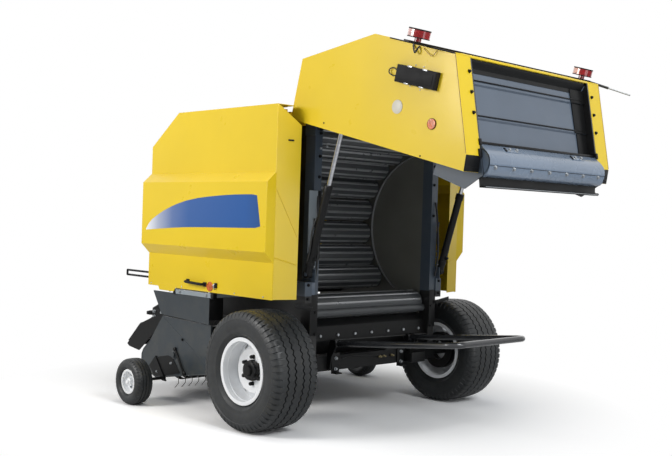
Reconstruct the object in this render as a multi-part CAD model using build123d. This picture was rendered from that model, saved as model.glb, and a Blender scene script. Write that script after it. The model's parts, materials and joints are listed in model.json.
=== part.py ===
"""Round baler, towed, parked on its wheels and drawbar jack with the tailgate open. Millimetres.

The model is laid out from the axle: +X is the way it travels, +Y its left side, +Z up, and the
ground is z = 0. The last step moves every piece by AXLE_X, so that the origin lies under the
middle of the whole machine. Left-hand pieces are drawn at +Y and mirrored for the right.
"""

import os
from math import atan2, cos, degrees, hypot, pi, radians, sin

from build123d import *

# ---- Driving dimensions -------------------------------------------------------------------
STEEL = 4  # sheet metal of covers and doors
PLATE = 10  # load-bearing plate
FIT = 0.05  # radial clearance of a pin or shaft in its bore
GAP = 8  # least side clearance between a moving piece and the frame

# Main wheels
WHEEL_R = 425
WHEEL_W = 390
WHEEL_Y = 1035
TYRE_WALL = 26
TYRE_SHOULDER = 45
BEAD_FIT = 0.3
LIP_FIT = 1
RIM_R = 216
RIM_LIP = 19
RIM_LIP_THICK = 6
RIM_WALL = 7
RIM_HALF = 168
RIM_SEAT = 155
SPINDLE_R = 32
SPINDLE_PAST = 85  # past the middle of the tyre
HUB_R = 78
HUB_NOSE_R = 62
HUB_BACK = 70
HUB_FRONT = 100
# Wheel dish, from the hub outwards: radius, y
DISH = ((118, 48), (150, 62), (210, 20))
DISH_THICK = 12
CAP_R = 34
CAP_DEPTH = 28
CAP_FIT_DEPTH = 8
WHEEL_HOLES = 6
WHEEL_HOLE_R = 17
WHEEL_HOLE_AT = 176
AXLE_SIDE = 110
AXLE_HALF = 780

# Bale chamber: rolls round the bale's circle
CHAMBER_HALF = 615
BALE_X = -60
BALE_Z = 1450
BALE_R = 610
ROLL_R = 90
ROLL_STEP = 16.4  # degrees from roll to roll
ROLL_SHAFT_R = 25
ROLL_WALL = 7
ROLL_END_GAP = 12
ROLL_HOLE_R = 12
FRONT_ROLL_START = -38
FRONT_ROLLS = 8
REAR_ROLL_START = 105
REAR_ROLLS = 7
FLOOR_ROLL_X = 30
FLOOR_ROLL_Z = 845
# Chamber wall's edge from the floor round the front to the top: x, z
WALL_FLAT_X = 200
WALL_EDGE = (
    (300, 545), (500, 410), (700, 410), (760, 480), (760, 690), (880, 700), (980, 700),
    (1090, 752), (1180, 762),
    (1180, 1800), (900, 2180),
)
# Sheets across the machine under the chamber and behind the pickup: x, z
CROSS_LINE = ((70, 740), (-10, 740), (-52, 700), (-60, 600), (20, 500))
FEEDER_LINE = ((310, 550), (500, 421), (695, 421), (745, 480))

# Rear posts carry the tailgate hinge
POST_X0 = -120
POST_DEPTH = 100
POST_WIDTH = 70
POST_TOP = 2140
POST_WALL = 8
POST_CAP = 40
SIDE_LUG = (890, 1040)  # block beside the post that the door shuts on: z
SIDE_LUG_REACH = 65

# Tailgate hinge and opening
HINGE_X = -120
HINGE_Z = 2200
HINGE_PIN_R = 20
HINGE_EAR_R = 48
HINGE_LUG_R = 38
HINGE_LUG_OUT = 10
TAILGATE_OPEN = 70
TAILGATE_WALL = 12
TAILGATE_WALL_BESIDE = 53  # from the chamber wall's inner face to the tailgate wall's outer one
TAILGATE_WALL_OUT = CHAMBER_HALF + TAILGATE_WALL_BESIDE
TAILGATE_FOOT_Z = 760
WALL_HOOK_Z = 1030  # top of the hook at the foot of the tailgate's wall
COVER_INSET = 3
TAILGATE_FRONT_X = POST_X0 - GAP
# Side outline of the shut tailgate, from the hinge corner round the back to the foot: x, z
TAILGATE_OUTLINE = (
    (-84, 2330),
    (-516, 2374),
    (-851, 1738),
    (-902, 1028),
    (-356, 713),
    (-257, 693),
)
END_ROLL_ALONG = 660
END_ROLL_IN = 30
END_ROLL_COVER_R = 85
END_ROLL_COVER_WALL = 6
END_ROLL_FOOT = (60, 70)  # the wall's foot past the end roll's middle: x, z
# Bent panels across the lower back face: along it from its top, and inwards from it
END_PANEL_LINE = ((30, 20), (60, 48), (155, 44), (165, 56), (370, 52), (382, 62), (560, 60))

# Tailgate cylinders
CYLINDER_BESIDE_POST = 44
CYLINDER_INSIDE_SKIN = 81
CYLINDER_Y = CHAMBER_HALF + POST_WIDTH + CYLINDER_BESIDE_POST
TAILGATE_HALF = CYLINDER_Y + CYLINDER_INSIDE_SKIN
CYLINDER_FOOT = (-130, 1100)
CYLINDER_EYE_SHUT = (-308, 1885)
BARREL_R = 28
BARREL_LENGTH = 660
ROD_R = 16
EYE_R = 30
EYE_WIDTH = 40
EYE_GAP = 5
CYLINDER_PIN_R = 15
ROD_HIDDEN = 100  # length of rod inside the barrel with the tailgate open
BARREL_FLOOR = 60
FOOT_PLATE = (35, 60)  # of the foot's bracket, above and below the pin
FOOT_PLATE_THICK = 6

# Covers
COVER_HALF = TAILGATE_HALF - 25

# Side doors
DOOR_REAR = -75
DOOR_FRONT = 1495
DOOR_TOP = 2297
DOOR_INNER = COVER_HALF + 45
DOOR_CHAMFER_X = 1134
DOOR_CHAMFER_Z = 2037
# Door's outer face in section, from the top down: y, z
DOOR_SECTION = (
    (1007, DOOR_TOP),
    (1007, 1818),
    (1087, 1746),
    (1087, 1253),
    (1011, 1177),
    (1011, 917),
)
DOOR_RETURN_X = -130
DOOR_RETURN_TOP = 2150
DOOR_RETURN_BOTTOM = 920
DOOR_RETURN_REACH = 5
DOOR_HINGE_Y = COVER_HALF + 30
DOOR_HINGE_Z = 2282
DOOR_HINGE_R = 8
DOOR_KNUCKLE_R = 14
DOOR_KNUCKLE_LENGTH = 90
DOOR_KNUCKLES_X = (200, 900)
DOOR_HINGE_LEAF = 35
DOOR_PIN_X = (100, 1050)
DOOR_LUGS_X = (110, 1020)
DOOR_LUG = 20
DOOR_LUG_PAST = 6
DOOR_NOTCH = (30, 15)  # corner taken from the top's rear inner edge, for the open tailgate: to x, depth

# Roof, front cover and net box lid
ROOF_Z = 2245
ROOF_REAR = 50
ROOF_FRONT = 1130
FRONT_X = 1440
ROOF_RIM = 25
ROOF_RIM_RISE = 22
ROOF_RAIL_X = (60, 900)
LID_FRONT_Z = 2010
LID_LAP = 60
LID_SIDE = 30
LID_CLEAR = 10
FRONT_BOTTOM = 1300
FRONT_TOP = 1980
FRONT_SHELF_X = 1190
FRONT_SIDE_X = (1120, 1300)
FRONT_SIDE_STEP = 190
LID_HINGE_X = 1150
LID_HINGE_Z = 2264
LID_PIN_R = 7
LID_KNUCKLE_R = 14
LID_KNUCKLE_Y = 450
LID_KNUCKLE = 100
LID_LUG = 10
LID_LUG_GAP = 10
LID_LUG_BACK = 30

# Drawbar, hitch, jack and input shaft
BEAM_SIDE = 120
BEAM_BOTTOM = 860
BEAM_REAR = 900
CROSS_DEPTH = 100
BEAM_BEND_X = 1900
BEAM_BEND_STEP = 20
BEAM_END_LOW = 50
BEAM_END_HIGH = 60
BEAM_END_BACK = 50
HITCH_X = 2980
HITCH_Z = 500
HITCH_BORE_R = 20
HITCH_EYE_R = 52
HITCH_THICK = 30
HITCH_SHANK = 30
HITCH_SHANK_IN = 20
JACK_X = 2330
JACK_Y = 118
JACK_LEG_R = 30
JACK_SLEEVE_R = 38
JACK_SLEEVE_BOTTOM = 520
JACK_SLEEVE_TOP = 1080
JACK_SLEEVE_CAP = 60
JACK_LEG_TOP = 560
JACK_LUG = (700, 780)
JACK_LUG_HALF = 30
JACK_FOOT = 160
JACK_FOOT_THICK = 10
GEARBOX_X = 1200
GEARBOX = (290, 260, 280)  # length, width, height
GEARBOX_NOSE = 30
GEARBOX_NOSE_R = 60
YOKE_R = 45
YOKE_LENGTH = 50
YOKE_GAP = 45
SHAFT_Z = 1130
SHAFT_END_X = 2640
SHAFT_END_Z = 870
SHAFT_GUARD_R = 40
SHAFT_BELL_R = 56
SHAFT_BELL = 90
SHAFT_SLEEVE_R = 62
SHAFT_SLEEVE = (190, 90)  # from the shaft's end
SHAFT_BORE_R = 17.5
SHAFT_BORE_DEPTH = 70
HOLDER_Y = 300
HOLDER_X = (2230, 2970)
HOLDER_Z = (890, 935)
HOLDER_FOOT = (60, 790)  # where its foot meets the beam: y, z
HOLDER_R = 10

# Pickup
PICKUP_PIVOT_X = 700
PICKUP_PIVOT_Z = 590
PICKUP_PIN_R = 18
PICKUP_PLATE = 12
ARM = 14
# Arm from the pivot to the cross bar: rear end and neck, x, z
ARM_REAR = ((660, 560), (660, 625))
ARM_NECK = ((740, 635), (740, 545))
TUBE_X = 850
TUBE_Z = 555
TUBE_SIDE = 70
REEL_X = 1150
REEL_Z = 380
REEL_BARS = 4
REEL_BAR_R = 12
REEL_BAR_AT = 120
REEL_TUBE_R = 45
REEL_SHAFT_R = 20
REEL_SHAFT_SHORT = 2
REEL_DISC = 8
REEL_DISC_RIM = 4
REEL_END = 10
BAR_END = 12
TINE_R = 3
TINE_BEND_R = 232
TINE_TIP = (48, 275)  # forward of and below the reel's middle
TINE_PITCH = 66
TINES = 29
REEL_CLEAR = 10  # between the reel's end disc and the side plate
BAND_R = 200
BAND_WIDTH = 46
BAND_BACK = 60
LOW_BAR = (815, 285)
LOW_BAR_SIDE = 40
BAND_SEAT = 10
# Side plate of the pickup: x, z
PICKUP_OUTLINE = (
    (674, 660),
    (1330, 672),
    (1504, 456),
    (1600, 376),
    (1624, 331),
    (1624, 262),
    (1510, 196),
    (1401, 160),
    (669, 288),
)
GUARD_PIVOT_X = 1330
GUARD_PIVOT_Z = 640
GUARD_PIN_R = 10
GUARD_ARM = 8
GUARD_SHEET = 6
GUARD_ROLLER = (1838, 392)
GUARD_ROLLER_R = 22
# Wind guard's sheet from the pivot forwards, and its arms' lower edge: x, z
GUARD_LINE = ((1360, 682), (1540, 632), (1697, 572), (1866, 415))
GUARD_ARM_EDGE = ((1300, 665), (1300, 615), (1470, 530), (1640, 395), (1700, 348), (1850, 366), (1882, 385))
GAUGE_X = 1270
GAUGE_OUT = 288  # of the gauge wheel's middle past the pickup's side plate
GAUGE_R = 180
GAUGE_W = 150
GAUGE_AXLE_R = 12
GAUGE_AXLE_PAST = 20
GAUGE_ARM = 14
GAUGE_ARM_LINE = ((1245, 155), (1295, 155), (1440, 300), (1400, 340))
GAUGE_RIM_R = 88
GAUGE_LIP_R = 96
GAUGE_RIM_HALF = 55
GAUGE_LIP = 7
GAUGE_RIM_WALL = 8
GAUGE_HUB_R = 30
GAUGE_HUB = (40, 45)
GAUGE_DISC = (4, 12)
GAUGE_SEAT = 46
GAUGE_TYRE_WALL = 14
GAUGE_SHOULDER = 26

# Fixed side skirts and the rails that carry them under the doors
SKIRT_CLEAR = 12  # between the skirt and the pickup's side plate
SKIRT_THICK = 12
SKIRT_CORNERS = ((1439, 872), (1313, 690), (674, 668))
RAIL_Z0 = 872
RAIL_Z1 = 905
RAIL_X = (620, 1140)
RAIL_INSIDE = 21  # of the rail, inwards from the skirt's outer face
RAIL_PAST = 9
RAIL_ARM = 40
RAIL_ARMS_X = (660, 1080)

# Bale hoop behind the chamber
HOOP_R = 21
HOOP_HALF = 400
HOOP_PIVOT_X = -110
HOOP_PIVOT_Z = 575
HOOP_REAR_X = -1240
HOOP_REAR_Z = 694
HOOP_CORNER_R = 90
HOOP_BOSS_R = 26
HOOP_BOSS = 25
HOOP_PIN_R = 12
HOOP_BRACKET_AT = 31
HOOP_PIN_END = 30
# Hoop bracket's free edge behind the axle beam: x, z
HOOP_BRACKET_EDGE = ((-85, 605), (-135, 605), (-145, 555), (-100, 480), (-85, 380))
HOOP_BRACKET_FOOT = (380, 520)

# Tail lamps
LAMP_R = 70
LAMP_HEIGHT = 50
LAMP_STEM = (22, 22)  # radius, height
LAMP_BAR_ALONG = 465
LAMP_BAR = (44, 12)  # width, thickness
LAMP_Y = TAILGATE_HALF + 110
LAMP_BAR_PAST = 100

# Switch box on the tailgate's left side: down its front edge, and back from that edge
SIDE_BOX_DOWN = (956, 1302)
SIDE_BOX_BACK = (428, 541)
SIDE_BOX_DEPTH = 30

# ---- Worked-out places --------------------------------------------------------------------
WALL_OUT = CHAMBER_HALF + PLATE
POST_X1 = POST_X0 + POST_DEPTH
POST_Y0 = CHAMBER_HALF
POST_Y1 = POST_Y0 + POST_WIDTH
WALL_TOP = WALL_EDGE[-1][1]
AXLE_TOP = WHEEL_R + AXLE_SIDE / 2
ROLL_AT = BALE_R + ROLL_R
BEAM_TOP = BEAM_BOTTOM + BEAM_SIDE
BEAM_END_X = HITCH_X - HITCH_EYE_R - BEAM_END_BACK
TAILGATE_WALL_IN = TAILGATE_WALL_OUT - TAILGATE_WALL
# The pickup is as wide as its reel, and its wheels, skirts and rails go with it
REEL_HALF = (TINES - 1) / 2 * TINE_PITCH + BAR_END + REEL_END
PICKUP_PLATE_OUT = REEL_HALF + REEL_DISC / 2 + REEL_CLEAR + PICKUP_PLATE
GAUGE_Y = PICKUP_PLATE_OUT + GAUGE_OUT
SKIRT_OUT = PICKUP_PLATE_OUT + SKIRT_CLEAR + SKIRT_THICK
RAIL_Y = (SKIRT_OUT - RAIL_INSIDE, SKIRT_OUT + RAIL_PAST)


def turned(x, z, about_x, about_z, angle):
    """Where x, z goes when it turns by angle about a Y axis (positive lifts what is behind)."""
    c, s = cos(radians(angle)), sin(radians(angle))
    dx, dz = x - about_x, z - about_z
    return about_x + dx * c + dz * s, about_z - dx * s + dz * c


def opened(x, z):
    """Where a point of the shut tailgate lies with the tailgate open."""
    return turned(x, z, HINGE_X, HINGE_Z, TAILGATE_OPEN)


# The end roll's cover lies near the foot of the tailgate's lower back face
_back, _foot = TAILGATE_OUTLINE[3], TAILGATE_OUTLINE[4]
_face = hypot(_foot[0] - _back[0], _foot[1] - _back[1])
FACE_ALONG = ((_foot[0] - _back[0]) / _face, (_foot[1] - _back[1]) / _face)
FACE_IN = (-FACE_ALONG[1], FACE_ALONG[0])
END_ROLL_X = _back[0] + END_ROLL_ALONG * FACE_ALONG[0] + END_ROLL_IN * FACE_IN[0]
END_ROLL_Z = _back[1] + END_ROLL_ALONG * FACE_ALONG[1] + END_ROLL_IN * FACE_IN[1]

REAR_REACH = -(opened(END_ROLL_X, END_ROLL_Z)[0] - END_ROLL_COVER_R)
FRONT_REACH = HITCH_X + HITCH_EYE_R
AXLE_X = (REAR_REACH - FRONT_REACH) / 2

SHAFT_START_X = GEARBOX_X + GEARBOX[0] + GEARBOX_NOSE + YOKE_GAP
_run = hypot(SHAFT_END_X - SHAFT_START_X, SHAFT_END_Z - SHAFT_Z)
SHAFT_WAY = ((SHAFT_END_X - SHAFT_START_X) / _run, 0, (SHAFT_END_Z - SHAFT_Z) / _run)

EYE_OPEN = opened(*CYLINDER_EYE_SHUT)
CYLINDER_LEAN = degrees(atan2(CYLINDER_FOOT[0] - EYE_OPEN[0], EYE_OPEN[1] - CYLINDER_FOOT[1]))
CYLINDER_LENGTH = hypot(EYE_OPEN[0] - CYLINDER_FOOT[0], EYE_OPEN[1] - CYLINDER_FOOT[1])


# ---- Shapes -------------------------------------------------------------------------------
def block(x0, x1, y0, y1, z0, z1):
    return Pos((x0 + x1) / 2, (y0 + y1) / 2, (z0 + z1) / 2) * Box(x1 - x0, y1 - y0, z1 - z0)


def slab(points, y0, y1):
    """A plate of side outline points (x, z) between y0 and y1."""
    face = make_face(Polyline([(x, y0, z) for x, z in points], close=True))
    return extrude(face, y1 - y0, dir=(0, 1, 0))


def bar_y(x, z, r, y0, y1):
    """A round bar along Y."""
    return Pos(x, (y0 + y1) / 2, z) * Rot(90, 0, 0) * Cylinder(r, y1 - y0)


def bar_x(y, z, r, x0, x1):
    return Pos((x0 + x1) / 2, y, z) * Rot(0, 90, 0) * Cylinder(r, x1 - x0)


def bar(start, end, r):
    """A round bar between two points."""
    a, b = Vector(*start), Vector(*end)
    return extrude(Plane(origin=a, z_dir=(b - a)) * Circle(r), (b - a).length)


def ring_y(x, y, z, profile):
    """A body turned about a Y axis at x, z, from a profile of (radius, y offset)."""
    face = make_face(Polyline([(r, 0, h) for r, h in profile], close=True))
    solid = revolve(face, Axis.Z)
    return Pos(x, y, z) * Rot(-90, 0, 0) * solid


def inset(points, gaps):
    """The anticlockwise polygon points with each side moved inwards by its own gap."""
    lines = []
    for (x0, z0), (x1, z1), gap in zip(points, points[1:] + points[:1], gaps):
        length = hypot(x1 - x0, z1 - z0)
        ux, uz = (x1 - x0) / length, (z1 - z0) / length
        lines.append((x0 - uz * gap, z0 + ux * gap, ux, uz))
    corners = []
    for (ax, az, aux, auz), (bx, bz, bux, buz) in zip(lines[-1:] + lines[:-1], lines):
        cross = aux * buz - auz * bux
        t = ((bx - ax) * buz - (bz - az) * bux) / cross
        corners.append((ax + aux * t, az + auz * t))
    return corners


def folded(points, thick, y0, y1):
    """A sheet folded along the open line points (x, z), thick to the right of its run."""
    outer, inner = [], []
    for i, (x, z) in enumerate(points):
        sides = []
        for j in (i - 1, i):
            if 0 <= j < len(points) - 1:
                dx, dz = points[j + 1][0] - points[j][0], points[j + 1][1] - points[j][1]
                length = hypot(dx, dz)
                sides.append((dz / length, -dx / length))
        nx, nz = sum(s[0] for s in sides), sum(s[1] for s in sides)
        scale = thick * len(sides) / (nx * nx + nz * nz) if len(sides) == 2 else thick
        outer.append((x, z))
        inner.append((x + nx * scale, z + nz * scale))
    return slab(outer + inner[::-1], y0, y1)


def mirrored(piece):
    return mirror(piece, about=Plane.XZ)


def both(piece):
    """Left and right copies in one node."""
    return Compound(children=[*piece.solids(), *mirrored(piece).solids()])


def open_up(piece):
    """Turns a piece of the shut tailgate to where it stands open."""
    return piece.rotate(Axis((HINGE_X, 0, HINGE_Z), (0, 1, 0)), TAILGATE_OPEN)


PARTS = {}


def keep(name, piece):
    PARTS[name] = piece


def keep_pair(name, piece):
    keep(name + "_left", piece)
    keep(name + "_right", mirrored(piece))


# ---- Wheels and axle ----------------------------------------------------------------------
def tyre(radius, width, bead, lip, seat, shoulder, wall):
    """Half of a tyre's section from the bead to the middle of the tread, and back inside."""
    half = width / 2
    tall = radius - lip
    outer = [
        (bead, seat), (lip, seat), (lip + tall * 0.12, half * 0.93), (lip + tall * 0.42, half),
        (radius - shoulder, half * 0.97), (radius - shoulder * 0.25, half - shoulder * 0.55),
        (radius, half * 0.55),
    ]
    inner = [
        (radius - wall, half * 0.55), (radius - shoulder, half * 0.97 - wall),
        (lip + tall * 0.42, half - wall), (lip + tall * 0.12, half * 0.93 - wall),
        (bead, seat - wall),
    ]
    mirror_outer = [(r, -y) for r, y in outer[::-1]]
    mirror_inner = [(r, -y) for r, y in inner[::-1]]
    return outer + mirror_outer + mirror_inner + inner


def main_wheel():
    lip = RIM_R + RIM_LIP
    keep_pair("tyre", ring_y(0, WHEEL_Y, WHEEL_R, tyre(
        WHEEL_R, WHEEL_W, RIM_R + BEAD_FIT, lip + LIP_FIT, RIM_SEAT, TYRE_SHOULDER, TYRE_WALL)))
    in_r, thick = RIM_R - RIM_WALL, RIM_LIP_THICK
    barrel = ring_y(0, WHEEL_Y, WHEEL_R, [
        (in_r, -RIM_HALF), (lip, -RIM_HALF), (lip, thick - RIM_HALF), (RIM_R, 2 * thick - RIM_HALF),
        (RIM_R, RIM_HALF - 2 * thick), (lip, RIM_HALF - thick), (lip, RIM_HALF), (in_r, RIM_HALF),
    ])
    bore = SPINDLE_R + FIT
    (flat_r, flat_y), (ridge_r, ridge_y), (_, edge_y) = DISH
    dish = ring_y(0, WHEEL_Y, WHEEL_R, [
        (bore, -HUB_BACK), (HUB_R, -HUB_BACK), (HUB_R, flat_y), (flat_r, flat_y), (ridge_r, ridge_y),
        (in_r + 1, edge_y), (in_r + 1, edge_y + DISH_THICK), (ridge_r + 4, ridge_y + DISH_THICK),
        (flat_r - 4, flat_y + DISH_THICK), (HUB_NOSE_R, flat_y + DISH_THICK),
        (HUB_NOSE_R, HUB_FRONT), (bore, HUB_FRONT),
    ])
    cap_y = HUB_FRONT - CAP_FIT_DEPTH
    cap = ring_y(0, WHEEL_Y, WHEEL_R, [(0, cap_y), (CAP_R, cap_y), (CAP_R, cap_y + CAP_DEPTH), (0, cap_y + CAP_DEPTH)])
    holes = [
        Pos(0, WHEEL_Y, WHEEL_R) * Rot(0, 360 / WHEEL_HOLES * k, 0) * Pos(WHEEL_HOLE_AT, ridge_y, 0)
        * Rot(90, 0, 0) * Cylinder(WHEEL_HOLE_R, 2 * ridge_y)
        for k in range(WHEEL_HOLES)
    ]
    keep_pair("rim", barrel + dish + cap - holes)


def axle():
    half = AXLE_SIDE / 2
    beam = block(-half, half, -AXLE_HALF, AXLE_HALF, WHEEL_R - half, WHEEL_R + half)
    for sign in (-1, 1):
        y0, y1 = sorted((sign * (AXLE_HALF - 5), sign * (WHEEL_Y + SPINDLE_PAST)))
        beam += bar_y(0, WHEEL_R, SPINDLE_R, y0, y1)
    keep("axle_beam", beam)


# ---- Frame and chamber --------------------------------------------------------------------
def chamber_walls():
    outline = [(POST_X1, AXLE_TOP), (WALL_FLAT_X, AXLE_TOP), *WALL_EDGE, (POST_X1, WALL_TOP)]
    wall = slab(outline, CHAMBER_HALF, WALL_OUT)
    wall += bar_y(PICKUP_PIVOT_X, PICKUP_PIVOT_Z, PICKUP_PIN_R, WALL_OUT, WALL_OUT + 2 * GAP + ARM)
    keep("chamber_walls", both(wall))


def rear_posts():
    post = block(POST_X0, POST_X1, POST_Y0, POST_Y1, AXLE_TOP, POST_TOP)
    post -= block(POST_X0 + POST_WALL, POST_X1 - POST_WALL, POST_Y0 + POST_WALL,
                  POST_Y1 - POST_WALL, AXLE_TOP, POST_TOP)
    out = POST_Y1 + HINGE_LUG_OUT
    for y0, y1 in ((POST_Y0, TAILGATE_WALL_IN - GAP), (TAILGATE_WALL_OUT + GAP, out)):
        lug = block(POST_X0 - EYE_GAP, POST_X1, y0, y1, POST_TOP - POST_CAP, HINGE_Z)
        lug += bar_y(HINGE_X, HINGE_Z, HINGE_LUG_R, y0, y1)
        post += lug
    post += block(POST_X0, POST_X1, POST_Y0, POST_Y1, POST_TOP - POST_CAP, POST_TOP)
    post += bar_y(HINGE_X, HINGE_Z, HINGE_PIN_R, POST_Y0, out)
    foot_x, foot_z = CYLINDER_FOOT
    above, below = FOOT_PLATE
    post += block(foot_x - above, POST_X0 + below, POST_Y1, POST_Y1 + FOOT_PLATE_THICK, foot_z - below,
                  foot_z + above)
    post += bar_y(foot_x, foot_z, CYLINDER_PIN_R, POST_Y1, CYLINDER_Y + EYE_WIDTH / 2 + EYE_GAP)
    post += block(POST_X0 - PLATE, POST_X1 + POST_DEPTH / 2, POST_Y1, POST_Y1 + SIDE_LUG_REACH, *SIDE_LUG)
    keep("rear_posts", both(post))


def rolls_at(start, count, half):
    """Rolls round the bale's circle, with their shafts out to the walls."""
    rolls = []
    for k in range(count):
        angle = radians(start + ROLL_STEP * k)
        x, z = BALE_X + ROLL_AT * cos(angle), BALE_Z + ROLL_AT * sin(angle)
        rolls.append(roll(x, z, half))
    return rolls


def roll(x, z, half):
    """A roll: a tube with end discs, each with a weld hole, on a through shaft."""
    end = half - ROLL_END_GAP
    tube = bar_y(x, z, ROLL_R, -end, end) - bar_y(x, z, ROLL_R - ROLL_WALL, ROLL_WALL - end, end - ROLL_WALL)
    tube += bar_y(x, z, ROLL_SHAFT_R, -half, half)
    return tube - bar_y(x + (ROLL_R + ROLL_SHAFT_R) / 2, z, ROLL_HOLE_R, -half, half)


def front_rolls():
    rolls = rolls_at(FRONT_ROLL_START, FRONT_ROLLS, CHAMBER_HALF)
    rolls.append(roll(FLOOR_ROLL_X, FLOOR_ROLL_Z, CHAMBER_HALF))
    keep("front_rolls", Compound(children=[s for r in rolls for s in r.solids()]))


def cross_sheets():
    keep("cross_sheet", folded(CROSS_LINE, PLATE, -CHAMBER_HALF, CHAMBER_HALF))
    keep("feeder_pan", folded(FEEDER_LINE, -PLATE, -CHAMBER_HALF, CHAMBER_HALF))


def roof():
    deck = block(ROOF_REAR, ROOF_FRONT, -COVER_HALF, COVER_HALF, ROOF_Z - STEEL, ROOF_Z)
    for sign in (-1, 1):
        y0, y1 = sorted((sign * CHAMBER_HALF, sign * WALL_OUT))
        deck += block(*ROOF_RAIL_X, y0, y1, WALL_TOP, ROOF_Z - STEEL)
        y0, y1 = sorted((sign * (COVER_HALF - ROOF_RIM), sign * COVER_HALF))
        deck += block(ROOF_REAR, ROOF_FRONT, y0, y1, ROOF_Z - STEEL, ROOF_Z + ROOF_RIM_RISE)
        deck += bar_x(sign * DOOR_HINGE_Y, DOOR_HINGE_Z, DOOR_HINGE_R, *DOOR_PIN_X)
        for x in DOOR_LUGS_X:
            y0, y1 = sorted((sign * (COVER_HALF - ROOF_RIM), sign * (DOOR_HINGE_Y + DOOR_LUG_PAST)))
            deck += block(x, x + DOOR_LUG, y0, y1, ROOF_Z, DOOR_HINGE_Z + DOOR_HINGE_R)
        ends = LID_KNUCKLE_Y - LID_LUG - LID_LUG_GAP, LID_KNUCKLE_Y + LID_KNUCKLE + LID_LUG_GAP
        y0, y1 = sorted((sign * ends[0], sign * (ends[1] + LID_LUG)))
        deck += bar_y(LID_HINGE_X, LID_HINGE_Z, LID_PIN_R, y0, y1)
        for end in ends:
            y0, y1 = sorted((sign * end, sign * (end + LID_LUG)))
            deck += block(ROOF_FRONT - LID_LUG_BACK, LID_HINGE_X - 3, y0, y1,
                          ROOF_Z - STEEL, LID_HINGE_Z + LID_PIN_R)
    keep("roof_deck", deck)


def front_cover():
    sheet = block(FRONT_X - STEEL, FRONT_X, -COVER_HALF, COVER_HALF, FRONT_BOTTOM, FRONT_TOP)
    sheet += block(FRONT_SHELF_X, FRONT_X, -COVER_HALF, COVER_HALF, FRONT_BOTTOM, FRONT_BOTTOM + STEEL)
    step_z = FRONT_TOP - FRONT_SIDE_STEP
    for sign in (-1, 1):
        y0, y1 = sorted((sign * (CHAMBER_HALF - PLATE), sign * CHAMBER_HALF))
        sheet += block(FRONT_SIDE_X[0], FRONT_X, y0, y1, FRONT_BOTTOM, step_z)
        sheet += block(FRONT_SIDE_X[1], FRONT_X, y0, y1, step_z - 1, FRONT_TOP)
    keep("front_cover", sheet)


def net_lid():
    front = FRONT_X + LID_CLEAR
    half = COVER_HALF - LID_SIDE
    lid = folded([(LID_HINGE_X + STEEL, LID_HINGE_Z - LID_KNUCKLE_R + STEEL),
                  (LID_HINGE_X + 3 * LID_KNUCKLE_R, LID_HINGE_Z - LID_KNUCKLE_R + STEEL),
                  (front, LID_FRONT_Z), (front, LID_FRONT_Z - LID_LAP)], STEEL, -half, half)
    for sign in (-1, 1):
        y0, y1 = sorted((sign * LID_KNUCKLE_Y, sign * (LID_KNUCKLE_Y + LID_KNUCKLE)))
        lid += bar_y(LID_HINGE_X, LID_HINGE_Z, LID_KNUCKLE_R, y0, y1)
        lid -= bar_y(LID_HINGE_X, LID_HINGE_Z, LID_PIN_R + FIT, y0 - 2, y1 + 2)
    keep("net_box_lid", lid)


# ---- Drawbar ------------------------------------------------------------------------------
def drawbar():
    half, start = BEAM_SIDE / 2, BEAM_REAR + CROSS_DEPTH
    beam = slab([
        (start, BEAM_BOTTOM), (BEAM_BEND_X, BEAM_BOTTOM), (BEAM_END_X, HITCH_Z - BEAM_END_LOW),
        (BEAM_END_X, HITCH_Z + BEAM_END_HIGH), (BEAM_BEND_X + BEAM_BEND_STEP, BEAM_TOP), (start, BEAM_TOP),
    ], -half, half)
    eye = Pos(HITCH_X, 0, HITCH_Z) * Cylinder(HITCH_EYE_R, HITCH_THICK)
    eye += block(BEAM_END_X - HITCH_SHANK_IN, HITCH_X, -HITCH_SHANK, HITCH_SHANK,
                 HITCH_Z - HITCH_THICK / 2, HITCH_Z + HITCH_THICK / 2)
    eye -= Pos(HITCH_X, 0, HITCH_Z) * Cylinder(HITCH_BORE_R, 2 * HITCH_THICK)
    keep("drawbar", beam + eye)
    keep("front_cross_beam", block(BEAM_REAR, start, -CHAMBER_HALF, CHAMBER_HALF, BEAM_BOTTOM, BEAM_TOP))


def gearbox():
    length, width, height = GEARBOX
    x0 = GEARBOX_X
    box = block(x0, x0 + length, -width / 2, width / 2, BEAM_TOP, BEAM_TOP + height)
    box += bar_x(0, SHAFT_Z, GEARBOX_NOSE_R, x0 + length, x0 + length + GEARBOX_NOSE)
    keep("gearbox", box)


def input_shaft():
    face_x = GEARBOX_X + GEARBOX[0] + GEARBOX_NOSE
    start = Vector(SHAFT_START_X, 0, SHAFT_Z)
    end = Vector(SHAFT_END_X, 0, SHAFT_END_Z)
    way = Vector(*SHAFT_WAY)
    shaft = bar(start, end, SHAFT_GUARD_R)
    shaft += bar(start, start + way * SHAFT_BELL, SHAFT_BELL_R)
    shaft += bar_x(0, SHAFT_Z, YOKE_R, face_x, face_x + YOKE_LENGTH)
    shaft += bar(end - way * SHAFT_SLEEVE[0], end - way * SHAFT_SLEEVE[1], SHAFT_SLEEVE_R)
    bore = bar(end - way * SHAFT_BORE_DEPTH, end + way * 10, SHAFT_BORE_R)
    keep("input_shaft", shaft - bore)


def holders():
    (x0, x1), (z0, z1), (foot_y, foot_z), y, r = HOLDER_X, HOLDER_Z, HOLDER_FOOT, HOLDER_Y, HOLDER_R
    piece = bar((x0, y, z1), (x1, y, z1), r) + bar((x0, y, z0), (x1, y, z0), r)
    piece += bar((x1, y, z0), (x1, y, z1), r) + bar((x0, y, z1), (x0, y, foot_z - r), r)
    piece += bar((x0, y, foot_z), (x0, foot_y, foot_z), r)
    keep("hose_holder", piece)


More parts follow.
